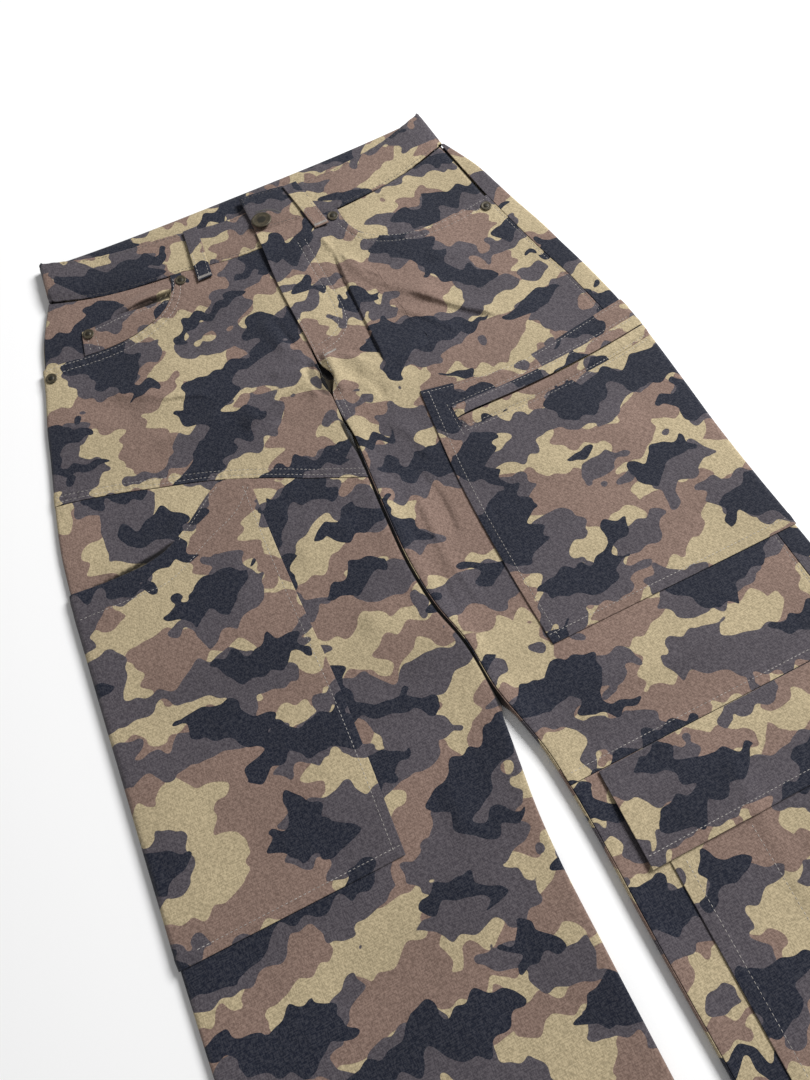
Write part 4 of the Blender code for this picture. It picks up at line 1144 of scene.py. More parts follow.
def lowest(height, reach=3):
    """The lowest of a grid's heights within `reach` rows and columns of each point."""
    for axis in (0, 1):
        around = np.pad(height, [(reach, reach) if k == axis else (0, 0) for k in (0, 1)],
                        mode="edge")
        height = np.minimum.reduce([
            np.take(around, np.arange(height.shape[axis]) + k, axis) for k in range(2 * reach + 1)])
    return height


# ---- Panels -----------------------------------------------------------------------
class Columns:
    """Stations of a panel's columns at any height.

    The head and tail stay at their stations; the shares between them are laid from
    start(y) to stop(y), which are 0 and 1 unless given; `lap(y)` draws the head out
    beyond the centre seam.
    """

    def __init__(self, head, shares, tail, start=None, stop=None, lap=None):
        self.whole = np.concatenate([head, shares, tail])
        self.head = slice(0, len(head))
        self.laid = slice(len(head), len(head) + len(shares))
        self.start, self.stop, self.lap = start, stop, lap

    def __len__(self):
        return len(self.whole)

    def level(self, y):
        """One height for every column."""
        return np.full(len(self), float(y))

    def __call__(self, y):
        at = np.broadcast_to(self.whole, y.shape).copy()
        low = self.start(y)[..., self.laid] if self.start else 0.0
        high = self.stop(y)[..., self.laid] if self.stop else 1.0
        at[..., self.laid] = low + (high - low) * at[..., self.laid]
        if self.lap:
            at[..., self.head] *= 1 + self.lap(y)[..., self.head] / TURN
        return at


def turned_edge(start, stop, first=False, last=False):
    """Stations over a stretch of a turned edge."""
    return across(start * HALF_TURN, stop * HALF_TURN, TURN_STEP, first, last) / HALF_TURN


def seam_stop(side, gap):
    """The front layer's end at the side seam, a gap short of it."""
    return lambda y: side_seam(side, y) - gap / (outer_turn_x(side, y) - inner_turn_x(side, y))


RIGHT_HEAD = turned_edge(STATION_GAP - INSEAM_AT[RIGHT], 0.0, first=True)[:-1]
RIGHT_TAIL = turned_edge(1.0, RIGHT_SEAM_AT - STATION_GAP, last=True)[1:]
LEFT_HEAD = turned_edge(STATION_GAP - INSEAM_AT[LEFT], 0.0, first=True)[:-1]


def front_columns(side, shares, lap=None):
    """Columns of a front panel, from the centre seam or inseam to the side seam."""
    if side == RIGHT:
        return Columns(RIGHT_HEAD, shares, RIGHT_TAIL, lap=lap)
    closer = 1 - EDGE_STEPS[:0:-1] / MID_WIDTH
    shares = np.concatenate([shares[shares < closer[0] - COLUMN_CLEAR], closer, [1.0]])
    return Columns(LEFT_HEAD, shares, (), stop=seam_stop(LEFT, GAP / 2))


def mouth_shares(side):
    """Flat part of an upper front, closest together where the mouth is steep."""
    start = mouth_start(side)
    inner = np.linspace(0, start, int(start * MID_WIDTH / UPPER_STEP) + 1)
    if side == LEFT:
        count = int(np.ptp(CREASE_SHARES) * MID_WIDTH / CREASE_STEP)
        close = np.linspace(*CREASE_SHARES, count)
        inner = np.concatenate([inner[inner < close[0] - COLUMN_CLEAR / 2], close,
                                inner[inner > close[-1] + COLUMN_CLEAR / 2]])
    bends = int(math.pi / 2 * (1 - start) * MID_WIDTH / UPPER_STEP)
    return np.concatenate([inner, bend_shares(start, bends)[1:]])


def fly_underlap(y):
    """How far the right front runs on under the fly."""
    return FLY_UNDERLAP * smooth_step((y - FLY_FOOT_Y) / FLY_UNDERLAP_RUN)


def front_top(side, columns):
    """Upper border of a front panel: under the band, then the pocket's mouth."""
    waist = settle(side, columns, lambda x: front_foot(side, x) - GAP, 0.0)
    at = columns(waist)
    return np.where(at > mouth_start(side), np.minimum(waist, scoop_y(side, at)), waist)


def seam_across(side, columns):
    """Heights of the seam that joins a front's upper and leg panels."""
    if side == LEFT:
        return columns.level(KNEE_SEAM_Y)
    return settle(RIGHT, columns, THIGH_SEAM, -200.0)


def make_fronts():
    """The four front panels: an upper and a leg on each side."""
    for side, word in ((RIGHT, "right"), (LEFT, "left")):
        upper, leg = f"front_{word}_upper", f"front_{word}_leg"
        lap = fly_underlap if side == RIGHT else None
        columns = front_columns(side, mouth_shares(side), lap)
        mouth = scoop_line(side, 0.0)

        def upper_rise(x, y, distances):
            """A doubled seam at the foot; the mouth stands a little open, and the fly's
            edge, on the wearer's left, a little up."""
            away, _, _ = nearest(mouth, x, y)
            gape = MOUTH_GAPE * bell(away, MOUTH_GAPE_WIDE)
            fly = smooth_step((y - FLY_FOOT_Y) / FLY_GAPE_RUN) * fade(distances[2], FLY_GAPE_WIDE)
            gape = gape + (FLY_GAPE * fly if side == LEFT else 0.0)
            return sewn(upper, x, y) + doubled(distances[1], SEAM_RISE) + gape

        step, finer = UPPER_ROWS[side]
        panel(upper, side, columns, front_top(side, columns),
              seam_across(side, columns) + GAP / 2, step, upper_rise, finer=finer)

        def leg_rise(x, y, distances):
            """The turned hem at the foot."""
            return sewn(leg, x, y) + doubled(distances[1], SEAM_RISE, HEM_HIGH)

        columns = front_columns(side, np.linspace(0, 1, int(MID_WIDTH / LEG_STEP) + 1))
        panel(leg, side, columns, seam_across(side, columns) - GAP / 2,
              columns.level(HEM_Y), LEG_STEP, leg_rise, finer=LEG_FINER[side])


def back_columns(side):
    """Columns of a back panel: round the outer turned edge, the floor layer, and the
    inner edge up to the inseam; the left one starts on top, at the side seam."""
    floor = 2 + np.linspace(0, 1, int(MID_WIDTH / BACK_STEP) + 1)
    inner = turned_edge(3.0, 4 - INSEAM_AT[side] - STATION_GAP, last=True)[1:]
    if side == RIGHT:
        edge = turned_edge(RIGHT_SEAM_AT + STATION_GAP, 2.0, first=True)[:-1]
        return Columns((), (), np.concatenate([edge, floor, inner]))
    edge = turned_edge(1.0, 2.0)[:-1]
    opening = seam_stop(LEFT, -GAP / 2)
    return Columns((), ON_TOP, np.concatenate([edge, floor, inner]),
                   start=lambda y: np.minimum(opening(y), 1 - LEAST_ON_TOP))


def make_backs():
    """The two back panels, flat on the surface below."""
    for side, name in ((RIGHT, "back_right"), (LEFT, "back_left")):
        columns = back_columns(side)
        near_waist = columns.level(BACK_WAIST_Y)
        x = on_form(side, columns(near_waist), near_waist, 0.0)[:, 0]
        waist = np.where(columns.whole > 2, band_foot(x, BACK_DIP), BAND_END_Y) - GAP

        def rise(x, y, distances):
            """Shallow creases that lift off the surface, none near the seams."""
            lying = (smooth_step(distances[2] / BACK_CREASES_IN)
                     * smooth_step(distances[3] / BACK_CREASES_IN))
            return np.clip(lying * crease_rise(BACK_CREASES, x, y), BACK_DEEPEST, 0.0)

        panel(name, side, columns, waist, columns.level(HEM_Y), BACK_STEP, rise)


def make_facings():
    """Pocket facings under the scooped mouths, and the coin pocket on the right one."""
    for side, name in ((RIGHT, "pocket_facing_right"), (LEFT, "pocket_facing_left")):
        start = mouth_start(side) - MOUTH_TUCK
        shares = bend_shares(start, MOUTH_POINTS)
        columns = (Columns((), shares, RIGHT_TAIL) if side == RIGHT else
                   Columns((), shares, (), stop=seam_stop(LEFT, GAP / 2)))
        top = settle(side, columns, lambda x: front_foot(side, x) - GAP, 0.0)
        mouth = scoop_y(side, np.clip(columns(top), 0, 1))

        def rise(x, y, distances):
            """Slack of the facing under the band, in soft creases."""
            inside = smooth_step(np.minimum(distances[0], distances[1]) / FACING_EASE)
            return crease_rise(FACING_CREASES, x, y) * inside

        panel(name, side, columns, top, mouth - FACING_TUCK, FACING_STEP, rise, -LAYER - GAP)
    make_coin_pocket()


def make_coin_pocket():
    """The coin pocket's upper part, whose hemmed top gapes in the middle."""
    inner = mouth_start(RIGHT) + COIN_IN
    shares = across(inner * MID_WIDTH, COIN_OUTER * MID_WIDTH, COIN_STEP) / MID_WIDTH
    columns = Columns((), shares, ())
    top = settle(RIGHT, columns, COIN_TOP, -36.0)
    foot = np.minimum(scoop_y(RIGHT, shares) + COIN_ABOVE_MOUTH, top - COIN_LEAST_HIGH)

    def rise(x, y, distances):
        """The mouth sags where it is open."""
        open_part = smooth_step((x - COIN_OPEN_X) / COIN_OPEN_RUN)
        sag = COIN_SAG * open_part * fade(distances[0], COIN_SAG_WIDE)
        hem = doubled(distances[0], COIN_HEM_RISE, COIN_HEM_HIGH)
        return sewn("coin_pocket", x, y) + hem - sag

    panel("coin_pocket", RIGHT, columns, top, foot, COIN_STEP, rise, COIN_LEVEL)


def patch_rise(name, wide):
    """Relief of a patch: edges doubled over `wide`, which its stitching presses down,
    and a little slack in uneven ripples between."""
    def rise(x, y, distances):
        inside = np.minimum.reduce(distances[:3])
        ripple = 0.5 + np.sin(x / 23.0 + 1.3) * np.sin(y / 31.0 + x / 57.0)
        slacken = SLACK * smooth_step((inside - wide) / SLACK_RUN) * ripple
        pressed = PRESSED * bell(inside, PRESSED_SHARE * wide)
        return sewn(name, x, y) + doubled(inside, SEAM_RISE, wide) + slacken - pressed
    return rise


def to_turned_edge(side, front, width, reach):
    """Columns from a line x = front(y) to part of the way round the outer edge."""
    shares = across(0.0, width, STEP, last=False) / width
    return Columns((), shares, turned_edge(1.0, reach, last=True)[1:],
                   start=lambda y: station_of(side, front(y), y))


def make_thigh_pockets():
    """The wearer's right thigh pocket, and the left patch with its welt pocket."""
    columns = to_turned_edge(RIGHT, lambda y: -read_table(RIGHT_POCKET_FRONT, y),
                             RIGHT_POCKET_LAID, RIGHT_POCKET_END)
    mouth = settle(RIGHT, columns, POCKET_MOUTH, -240.0)
    seam = settle(RIGHT, columns, THIGH_SEAM, -220.0)
    panel("cargo_pocket_right", RIGHT, columns, np.minimum(mouth, seam - GAP),
          columns.level(RIGHT_POCKET_FOOT), STEP, patch_rise("cargo_pocket_right", 7.0),
          PATCH_STEP)

    columns = to_turned_edge(LEFT, lambda y: read_table(LEFT_PATCH_FRONT, y),
                             LEFT_PATCH_LAID, LEFT_PATCH_END)
    panel("thigh_patch_left", LEFT, columns, settle(LEFT, columns, LEFT_PATCH_TOP, -215.0),
          columns.level(LEFT_PATCH_FOOT), STEP, patch_rise("thigh_patch_left", 8.0), PATCH_STEP)
    make_welts()


def make_welts():
    """The two lips of the welt pocket's slit, on the left patch."""
    columns = to_turned_edge(LEFT, lambda y: WELT_START + 0.0 * y, WELT_LAID, WELT_END)
    slit = settle(LEFT, columns, WELT_SLIT, -245.0)
    welts = (("welt_upper_left", WELT_HIGH, WELT_PART / 2, 1),
             ("welt_lower_left", -WELT_PART / 2, -WELT_HIGH, 0))
    for name, upper, lower, lip in welts:
        def lip_rise(x, y, distances):
            """The lip stands up a little along the slit's middle; the other borders
            are pressed down."""
            part = (smooth_step((x - WELT_PARTS_X) / WELT_PARTS_RUN)
                    * smooth_step((WELT_MEETS_X - x) / WELT_MEETS_RUN))
            sewn_down = np.minimum(distances[1 - lip], distances[2])
            gape = WELT_GAPE[lip] * part * fade(distances[lip], WELT_GAPE_WIDE)
            return sewn(name, x, y) + gape - WELT_PRESSED * bell(sewn_down, WELT_PRESSED_WIDE)

        panel(name, LEFT, columns, slit + upper, slit + lower, WELT_STEP, lip_rise,
              2 * PATCH_STEP)


def pleat_rise(x):
    """The lower pocket's pleat: a low welt down its middle."""
    return PLEAT_RISE * bell(x - LEFT_POCKET["pleat"], PLEAT_WIDE / 2)


def between_places(side, first, last):
    """Columns at even distances from the middle line."""
    shares = (across(first, last, STEP) - first) / (last - first)
    return Columns((), shares, (), start=lambda y: station_of(side, first, y),
                   stop=lambda y: station_of(side, last, y))


def make_lower_pocket():
    """The wearer's left lower pocket with its pleat, and the flap over its mouth."""
    pocket, flap = LEFT_POCKET, LEFT_FLAP
    columns = between_places(LEFT, pocket["inner"], pocket["outer"])
    plain = patch_rise("cargo_pocket_left", 10.0)

    def pocket_rise(x, y, distances):
        """The patch's own relief with its pleat."""
        return plain(x, y, (*distances[1:], distances[0])) + pleat_rise(x)

    panel("cargo_pocket_left", LEFT, columns, columns.level(pocket["top"]),
          columns.level(pocket["foot"]), STEP, pocket_rise, PATCH_STEP)

    columns = between_places(LEFT, flap["inner"], flap["outer"])

    def over_pocket(x, y, distances):
        """Lies on the leg at its seam, then climbs over the pocket; its free edge curls
        up a little in places."""
        climb = PATCH_STEP * smooth_step((FLAP_CLIMBS_Y - y) / FLAP_CLIMB_RUN)
        passing = smooth_step((FLAP_OVER_PLEAT_Y - y) / FLAP_OVER_PLEAT_RUN)
        over_pleat = pleat_rise(x) * passing
        wave = np.sin((x - flap["inner"]) / FLAP_CURL_RUN) ** 2
        curl = FLAP_CURL * wave * fade(distances[1], FLAP_CURL_WIDE)
        inside = np.minimum.reduce(distances[1:])
        return (climb + over_pleat + curl + doubled(inside, SEAM_RISE, 10.0)
                + sewn("cargo_flap_left", x, y))

    panel("cargo_flap_left", LEFT, columns, columns.level(KNEE_SEAM_Y - GAP),
          columns.level(flap["foot"]), STEP, over_pocket, PATCH_STEP)


# ---- Waistband and loops ----------------------------------------------------------
def band_height(x, layer_side):
    """Outer face of the front band; the wearer's left end lies on the right one."""
    edge = smooth_step(1 - (BAND_HALF - BAND_TURN - np.abs(x)) / EDGE_EASE)
    laid = BACK_LIFT + BAND_REST + (2 * BAND_TURN - BAND_REST) * edge
    if layer_side == LEFT:
        past_end = (x - BAND_LAP_RIGHT_X - BAND_LAP_CLEAR) / BAND_LAP_RUN
        laid = laid + BAND_LAP_STEP * (1 - smooth_step(past_end))
    return laid


def on_band(station, share, out):
    """A point of the band, moved out of its outer face by `out`.

    Stations: 0 to 1 the front from the right end under the fly to the right turned
    end, 1 to 2 that end, 2 to 3 the back, 3 to 4 the left turned end, 4 to 5 the front
    back to the left end on top.  `share` runs up the band's height.
    """
    turn_x = BAND_HALF - BAND_TURN
    right = BAND_LAP_RIGHT_X + (-turn_x - BAND_LAP_RIGHT_X) * np.clip(station, 0, 1)
    back = -turn_x + 2 * turn_x * np.clip(station - 2, 0, 1)
    left = turn_x + (BAND_LAP_LEFT_X - turn_x) * np.clip(station - 4, 0, 1)
    radius, centre = BAND_TURN + out, BACK_LIFT + BAND_TURN
    bend_right = np.clip(station - 1, 0, 1) * math.pi
    bend_left = np.clip(4 - station, 0, 1) * math.pi
    part = [station <= 1, station < 2, station <= 3, station < 4]
    x = np.select(part, [right, -turn_x - radius * np.sin(bend_right), back,
                         turn_x + radius * np.sin(bend_left)], left)
    z = np.select(part, [band_height(right, RIGHT) + out,
                         centre + radius * np.cos(bend_right), BACK_LIFT - out + 0 * x,
                         centre + radius * np.cos(bend_left)],
                  band_height(left, LEFT) + out)
    foot = np.select(part, [front_foot(RIGHT, right), BAND_END_Y + 0 * x,
                            band_foot(back, BACK_DIP), BAND_END_Y + 0 * x],
                     front_foot(LEFT, left))
    narrow = 1 - share * (1 - BAND_TOP_HALF / BAND_HALF)
    return np.stack([x * narrow, foot + share * BAND_HIGH, z], axis=-1)


def make_waistband():
    """The waistband, one doubled strip lapped at the centre front; its face swells a
    little between the two rows of stitching and waves along."""
    turn_x = BAND_HALF - BAND_TURN
    long_front = turn_x + BAND_LAP_RIGHT_X
    short_front = turn_x - BAND_LAP_LEFT_X
    bend = np.linspace(0, 1, BAND_BEND_COLUMNS)[1:-1]
    station = np.concatenate([
        across(0, long_front, BAND_STEP, last=False) / long_front, 1 + bend,
        2 + np.linspace(0, 1, BAND_BACK_COLUMNS), 3 + bend,
        4 + across(0, short_front, BAND_STEP, first=False) / short_front])
    share = across(0, BAND_HIGH, BAND_ROW_STEP) / BAND_HIGH
    station, share = np.meshgrid(station, share)
    turned = math.pi * BAND_TURN
    runs = np.cumsum([0.0, long_front, turned, 2 * turn_x, turned, short_front])
    u, v = np.interp(station, np.arange(6), runs), share * BAND_HIGH
    inside = np.minimum(v, BAND_HIGH - v)
    crown = np.sin(np.clip(inside / (BAND_HIGH / 2), 0, 1) * math.pi / 2)
    swell = BAND_SWELL * (crown - BAND_SWELL_SUNK)
    wave = BAND_WAVE * np.sin(u / 19.0 + v / 31.0) * np.sin(u / 47.0 + 1.0)
    pucker = BAND_PUCKER * np.sin(u / PUCKER_RUN * 2 * math.pi)
    pucker = pucker * bell(inside, BAND_PUCKER_WIDE)
    groove = -PRESS * bell(inside - BAND_STITCH_IN, PRESS_WIDE)
    lying = (station > BAND_BACK[0]) & (station < BAND_BACK[1])
    away = np.abs(on_band(station, share, 0.0)[..., 0])
    hug = BAND_HUG + BAND_HUG_FACING * smooth_step((away - FACINGS_FROM_X) / FACINGS_RUN)
    relief = np.where(lying, 0.0, swell + wave + pucker - hug * bell(v, BAND_HUG_WIDE)) + groove
    drop = roll(border_distance(u, v), BAND_ROUND)
    outer = on_band(station, share, relief - drop)
    inner = on_band(station, share, drop - BAND_WALL)
    shell("waistband", outer, inner, u, v)


def strip(name, x, y, low, high, wide):
    """A flat strip along a line of points, between its lower and its upper face."""
    off = across(-wide / 2, wide / 2, STRIP_STEP)
    run = np.concatenate([[0.0], np.cumsum(np.hypot(np.diff(y), np.diff(low)))])
    u, v = np.meshgrid(off, -run)
    drop = roll(border_distance(u, v), (high - low).min() / 2)
    grid_x, grid_y = x[:, None] + u, y[:, None] + 0 * u
    outer = np.stack([grid_x, grid_y, high[:, None] - drop], axis=-1)
    inner = np.stack([grid_x, grid_y, low[:, None] + drop], axis=-1)
    shell(name, outer, inner, u, v)


def make_front_loops():
    """The two belt loops on the front: they arch over the band, and their lower ends
    are folded under and so lie double."""
    for name, (side, x_top, x_foot) in FRONT_LOOPS.items():
        foot = float(front_foot(side, x_foot))
        high, low = loop_ends(foot)
        y = across(high, low, FRONT_LOOP_STEP)
        share = (high - y) / (high - low)
        x = x_top + (x_foot - x_top) * share
        over_band = band_height(x, side) + BAND_SWELL
        over_cloth = front_height(side, side * x, y) + LOOP_CLEAR
        passing = smooth_step((y - foot + LOOP_PASS_RUN / 2) / LOOP_PASS_RUN)
        seat = over_cloth * (1 - passing) + np.maximum(over_band, over_cloth) * passing
        arch = LOOP_ARCH * np.sin(np.clip(share / LOOP_ARCH_SHARE, 0, 1) * math.pi)
        under = seat + PATCH_GAP + arch
        folded = LOOP_DOUBLED * (1 - smooth_step((y - low - LOOP_FOLD) / LOOP_DOUBLED_RUN))
        strip(name, x, y, under, under + LOOP_THICK + folded, LOOP_WIDE)


def make_back_loops():
    """The three belt loops that the garment lies on, under the back of the band."""
    for word, x in BACK_LOOPS.items():
        high, low = loop_ends(float(band_foot(x, BACK_DIP)))
        y = across(high, low, BACK_LOOP_STEP)
        flat = 0.0 * y
        strip(f"belt_loop_back_{word}", flat + x, y, flat + BACK_LOOP_THICK, flat, LOOP_WIDE)


# ---- Metal ------------------------------------------------------------------------
def turned(name, profile, size, spot, seat, sides, beads=None, lean=0.0):
    """A piece turned about an upright axis, with a closed pole at its foot and top, and
    sheared so that it leans towards the waist.

    `profile` is rows (share of the radius, height) up the outside; a smooth line is
    carried round through them.  `beads(radius, angle)` raises its face.
    """
    line = smooth_line(np.array(profile) * (size, 1.0), TURNED_RINGS)
    angle = np.arange(sides) * 2 * math.pi / sides
    radius, up = line[:, :1] + 0 * angle, line[:, 1:] + 0 * angle
    if beads:
        up = up + beads(radius, angle + 0 * radius)
    ring = np.stack([spot.x + radius * np.cos(angle), spot.y + radius * np.sin(angle),
                     seat + up - lean * radius * np.sin(angle)], axis=-1)
    foot, top = (spot.x, spot.y, seat + line[0, 1]), (spot.x, spot.y, ring[-1, :, 2].mean())
    points = np.concatenate([ring.reshape(-1, 3), [foot, top]])
    index = np.arange(len(line) * sides).reshape(len(line), sides)
    after = np.roll(index, -1, axis=1)
    walls = np.stack([index[:-1], after[:-1], after[1:], index[1:]], axis=-1).reshape(-1, 4)
    count = len(line) * sides
    low = np.stack([after[0], index[0], np.full(sides, count)], axis=-1)
    high = np.stack([index[-1], after[-1], np.full(sides, count + 1)], axis=-1)
    out = np.concatenate([(radius / size).ravel(), [0.0, 0.0]])
    return make_mesh(f"{name}_metal", place(points),
                     walls.tolist() + low.tolist() + high.tolist(), edge=out)


def rim_beads(radius, angle):
    """A fine ring of beads inside the button's rim."""
    return BEAD_HIGH * bell(radius - BEADS_AT, BEAD_WIDE) * np.cos(BEADS * angle)


def make_metal():
    """The rivets at the pocket corners and the button on the band."""
    made = {}
    for name, spot in RIVETS.items():
        side = RIGHT if spot.x < 0 else LEFT
        angle = np.linspace(0, 2 * math.pi, 9)
        x = side * spot.x + np.append(RIVET_RADIUS * np.cos(angle), 0.0)
        y = spot.y + np.append(RIVET_RADIUS * np.sin(angle), 0.0)
        level = COIN_LEVEL if name == "rivet_coin_pocket" else 0.0
        seat = front_height(side, x, y).max() + level + GAP
        made[name] = turned(name, RIVET_PROFILE, RIVET_RADIUS, spot, seat, RIVET_SIDES)
    seat = float(band_height(BUTTON.x, LEFT)) + GAP
    made["waist_button"] = turned("waist_button", BUTTON_PROFILE, BUTTON_RADIUS, BUTTON,
                                  seat, BUTTON_SIDES, rim_beads, BUTTON_LEAN)
    return made


# ---- Thread -----------------------------------------------------------------------
def laid_heights(cloth, points):
    """Heights of the cloth's face under points, which a shrinkwrap drops onto it.  Those
    that miss it stay as they were."""
    dropped = make_mesh("dropped", points, [])
    fall = dropped.modifiers.new("fall", "SHRINKWRAP")
    fall.wrap_method, fall.target = "PROJECT", cloth
    fall.use_project_z, fall.use_negative_direction = True, True
    fall.use_positive_direction = False
    graph = bpy.context.evaluated_depsgraph_get()
    found = dropped.evaluated_get(graph).data
    flat = np.zeros(len(found.vertices) * 3)
    found.vertices.foreach_get("co", flat)
    bpy.data.objects.remove(dropped)
    return flat.reshape(-1, 3)[:, 2]


def sew(name, rows):
    """Topstitching of one piece: each thread lies in a low arch on the cloth, a ring of
    points carried along it and thinned to its closed ends."""
    lines, ways = [], []
    for row in rows:
        spots = even(row.line, max(2, int(length_of(row.line) / row.pitch) + 1))
        heading = np.gradient(spots, axis=0)
        heading = heading / np.linalg.norm(heading, axis=1, keepdims=True)
        if row.crosswise:
            heading = np.stack([-heading[:, 1], heading[:, 0]], axis=-1)
        t = np.linspace(-0.5, 0.5, THREAD_RINGS) * row.length
        lines.append(spots[:, None, :] + heading[:, None, :] * t[:, None])
        ways.append(heading)
    line, way = np.concatenate(lines), np.concatenate(ways)
    high = np.full(line.shape[:2] + (1,), DROP_FROM)
    points = place(np.concatenate([line, high], axis=-1))
    z = laid_heights(PIECES[name], points.reshape(-1, 3)).reshape(line.shape[:2]) / MM
    kept = (z.max(axis=1) < DROP_FROM / 2) & (np.ptp(z, axis=1) < THREAD_STEEPEST)
    line, way, z = line[kept], way[kept], z[kept]
    bow = 1 - np.linspace(-1, 1, THREAD_RINGS) ** 2
    z = z + THREAD * (THREAD_BOW * bow - THREAD_SUNK)
    axis = np.concatenate([line, z[..., None]], axis=-1)
    aside = np.stack([-way[:, 1], way[:, 0], 0 * way[:, 0]], axis=-1)
    angle = np.arange(THREAD_SIDES) * 2 * math.pi / THREAD_SIDES
    round_it = (aside[:, None, None, :] * np.cos(angle)[:, None]
                + np.array([0.0, 0.0, 1.0]) * np.sin(angle)[:, None])
    thin = np.sqrt(1 - (THREAD_TAPER * np.linspace(-1, 1, THREAD_RINGS)) ** 4)
    rings = axis[:, :, None, :] + THREAD * thin[:, None, None] * round_it
    ring = np.arange(THREAD_SIDES)
    after = np.roll(ring, -1)
    wall = np.stack([ring, after, after + THREAD_SIDES, ring + THREAD_SIDES], axis=-1)
    walls = wall + np.arange(THREAD_RINGS - 1)[:, None, None] * THREAD_SIDES
    cap = np.array([[0, 1, 2, 3], [0, 3, 4, 5]])
    last = (THREAD_RINGS - 1) * THREAD_SIDES
    one = np.concatenate([walls.reshape(-1, 4), cap[:, ::-1], cap + last])
    faces = one + np.arange(len(rings))[:, None, None] * THREAD_RINGS * THREAD_SIDES
    return make_mesh(f"topstitch_{name}", place(rings.reshape(-1, 3)),
                     faces.reshape(-1, 4).tolist())


# ---- Materials --------------------------------------------------------------------
class Field:
    """One output of a material's nodes; sums and products of it add their own nodes."""

    def __init__(self, finish, socket):
        self.finish, self.socket = finish, socket

    def combine(self, operation, *others):
        """A Math node on this value, or a Vector Math node where it is a vector."""
        if self.socket.type == "VALUE":
            return self.finish.add("ShaderNodeMath", dict(operation=operation),
                                   dict(enumerate((self, *others))))
        if operation == "MULTIPLY" and isinstance(others[0], (int, float)):
            return self.finish.add("ShaderNodeVectorMath", dict(operation="SCALE"),
                                   {"Vector": self, "Scale": others[0]})
        return self.finish.add("ShaderNodeVectorMath", dict(operation=operation),
                               {0: self, 1: others[0]})

    def __add__(self, other):
        return self.combine("ADD", other)

    def __sub__(self, other):
        return self.combine("SUBTRACT", other)

    def __mul__(self, other):
        return self.combine("MULTIPLY", other)

    def __rsub__(self, other):
        return self * -1.0 + other

    __radd__ = __add__
    __rmul__ = __mul__

    def step(self, low, high, start=0.0, stop=1.0):
        """An S from `start` at low to `stop` at high."""
        return self.finish.add("ShaderNodeMapRange", dict(interpolation_type="SMOOTHSTEP"), {
            "Value": self, "From Min": low, "From Max": high, "To Min": start,
            "To Max": stop})


class Finish:
    """One material, built up from fields."""

    def __init__(self, name):
        self.material = bpy.data.materials.new(name)
        self.material.use_nodes = True
        self.tree = self.material.node_tree
        self.tree.nodes.clear()

    def add(self, kind, settings=None, inputs=None, output=0):
        """A node: its settings first, then its sockets' values and links."""
        node = self.tree.nodes.new(kind)
        for key, value in (settings or {}).items():
            setattr(node, key, value)
        for key, value in (inputs or {}).items():
            if isinstance(value, Field):
                self.tree.links.new(value.socket, node.inputs[key])
            else:
                node.inputs[key].default_value = value
        return Field(self, node.outputs[output]) if node.outputs else None

    def noise(self, at, scale, detail=0.0, roughness=0.5, output="Fac"):
        """Smooth noise, about 0.5 all over."""
        return self.add("ShaderNodeTexNoise", {}, {
            "Vector": at, "Scale": scale, "Detail": detail, "Roughness": roughness}, output)

    def mix(self, share, first, second, blend="MIX"):
        """Two colours mixed."""
        return self.add("ShaderNodeMix", dict(data_type="RGBA", blend_type=blend),
                        {0: share, 6: first, 7: second}, 2)

    def bump(self, height, distance, normal=None):
        """Relief: a height of 1 stands `distance` metres high."""
        inputs = {"Height": height, "Distance": distance, "Strength": 1.0}
        if normal:
            inputs["Normal"] = normal
        return self.add("ShaderNodeBump", {}, inputs)

    def shade(self, inputs):
        """The shader at the end."""
        shader = self.add("ShaderNodeBsdfPrincipled", {}, inputs)
        self.add("ShaderNodeOutputMaterial", {}, {"Surface": shader})
        return self.material


def colour(code):
    """A linear colour from its hexadecimal display code."""
    parts = [int(code[i:i + 2], 16) / 255 for i in (0, 2, 4)]
    return tuple(c / 12.92 if c <= 0.04045 else ((c + 0.055) / 1.055) ** 2.4
                 for c in parts) + (1.0,)


TAN, BROWN, GREY, NAVY, UNDYED = map(
    colour, ("a99a7b", "7a645a", "474249", "091226", "b3ada2"))


def stray(finish, at, scale, shift):
    """Coordinates led astray: sideways by a noise that changes fast up and down the
    cloth, and up and down by one that changes fast across it, so that an outline grows
    rounded fingers without breaking up."""
    sway = finish.noise(at * (0.3, 1.0, 1.0) + shift, scale) - 0.5
    dip = finish.noise(at * (1.0, 0.35, 1.0) + shift, scale * 0.9) - 0.5
    astray = finish.add("ShaderNodeCombineXYZ", {}, {"X": sway * FINGERS, "Y": dip * DRIPS})
    return at + astray


def blotches(finish, at, shift, scale):
    """A field of broad blotches, wider than high, with fingers large and small."""
    x, y = shift
    at = stray(finish, at, 84.0, (x * 1.7, y * 1.3, 0.0))
    at = stray(finish, at, 42.0, (x * 2.7, y * 2.3, 0.0))
    return finish.noise(at * (1 / BLOTCH_STRETCH, 1.0, 1.0) + (x, y, 0.0), scale)


def inked(field, least):
    """1 where a field of blotches is above `least`, with a hardly softened outline."""
    return field.step(least - BLEED, least + BLEED)


def camouflage(finish, at):
    """An ordinary camouflage: brown, grey and blue-black shapes printed on tan, the grey
    often along the blue-black."""
    brown = blotches(finish, at, *BROWN_BLOTCHES)
    navy = blotches(finish, at, *NAVY_BLOTCHES)
    beside_navy = blotches(finish, at, *BESIDE_NAVY_BLOTCHES)
    grey = beside_navy * 0.5 + blotches(finish, at, *GREY_BLOTCHES) * 0.5
    print_ = finish.mix(inked(brown, BROWN_FROM), TAN, BROWN)
    print_ = finish.mix(inked(grey, GREY_FROM), print_, GREY)
    return finish.mix(inked(navy, NAVY_FROM), print_, NAVY)


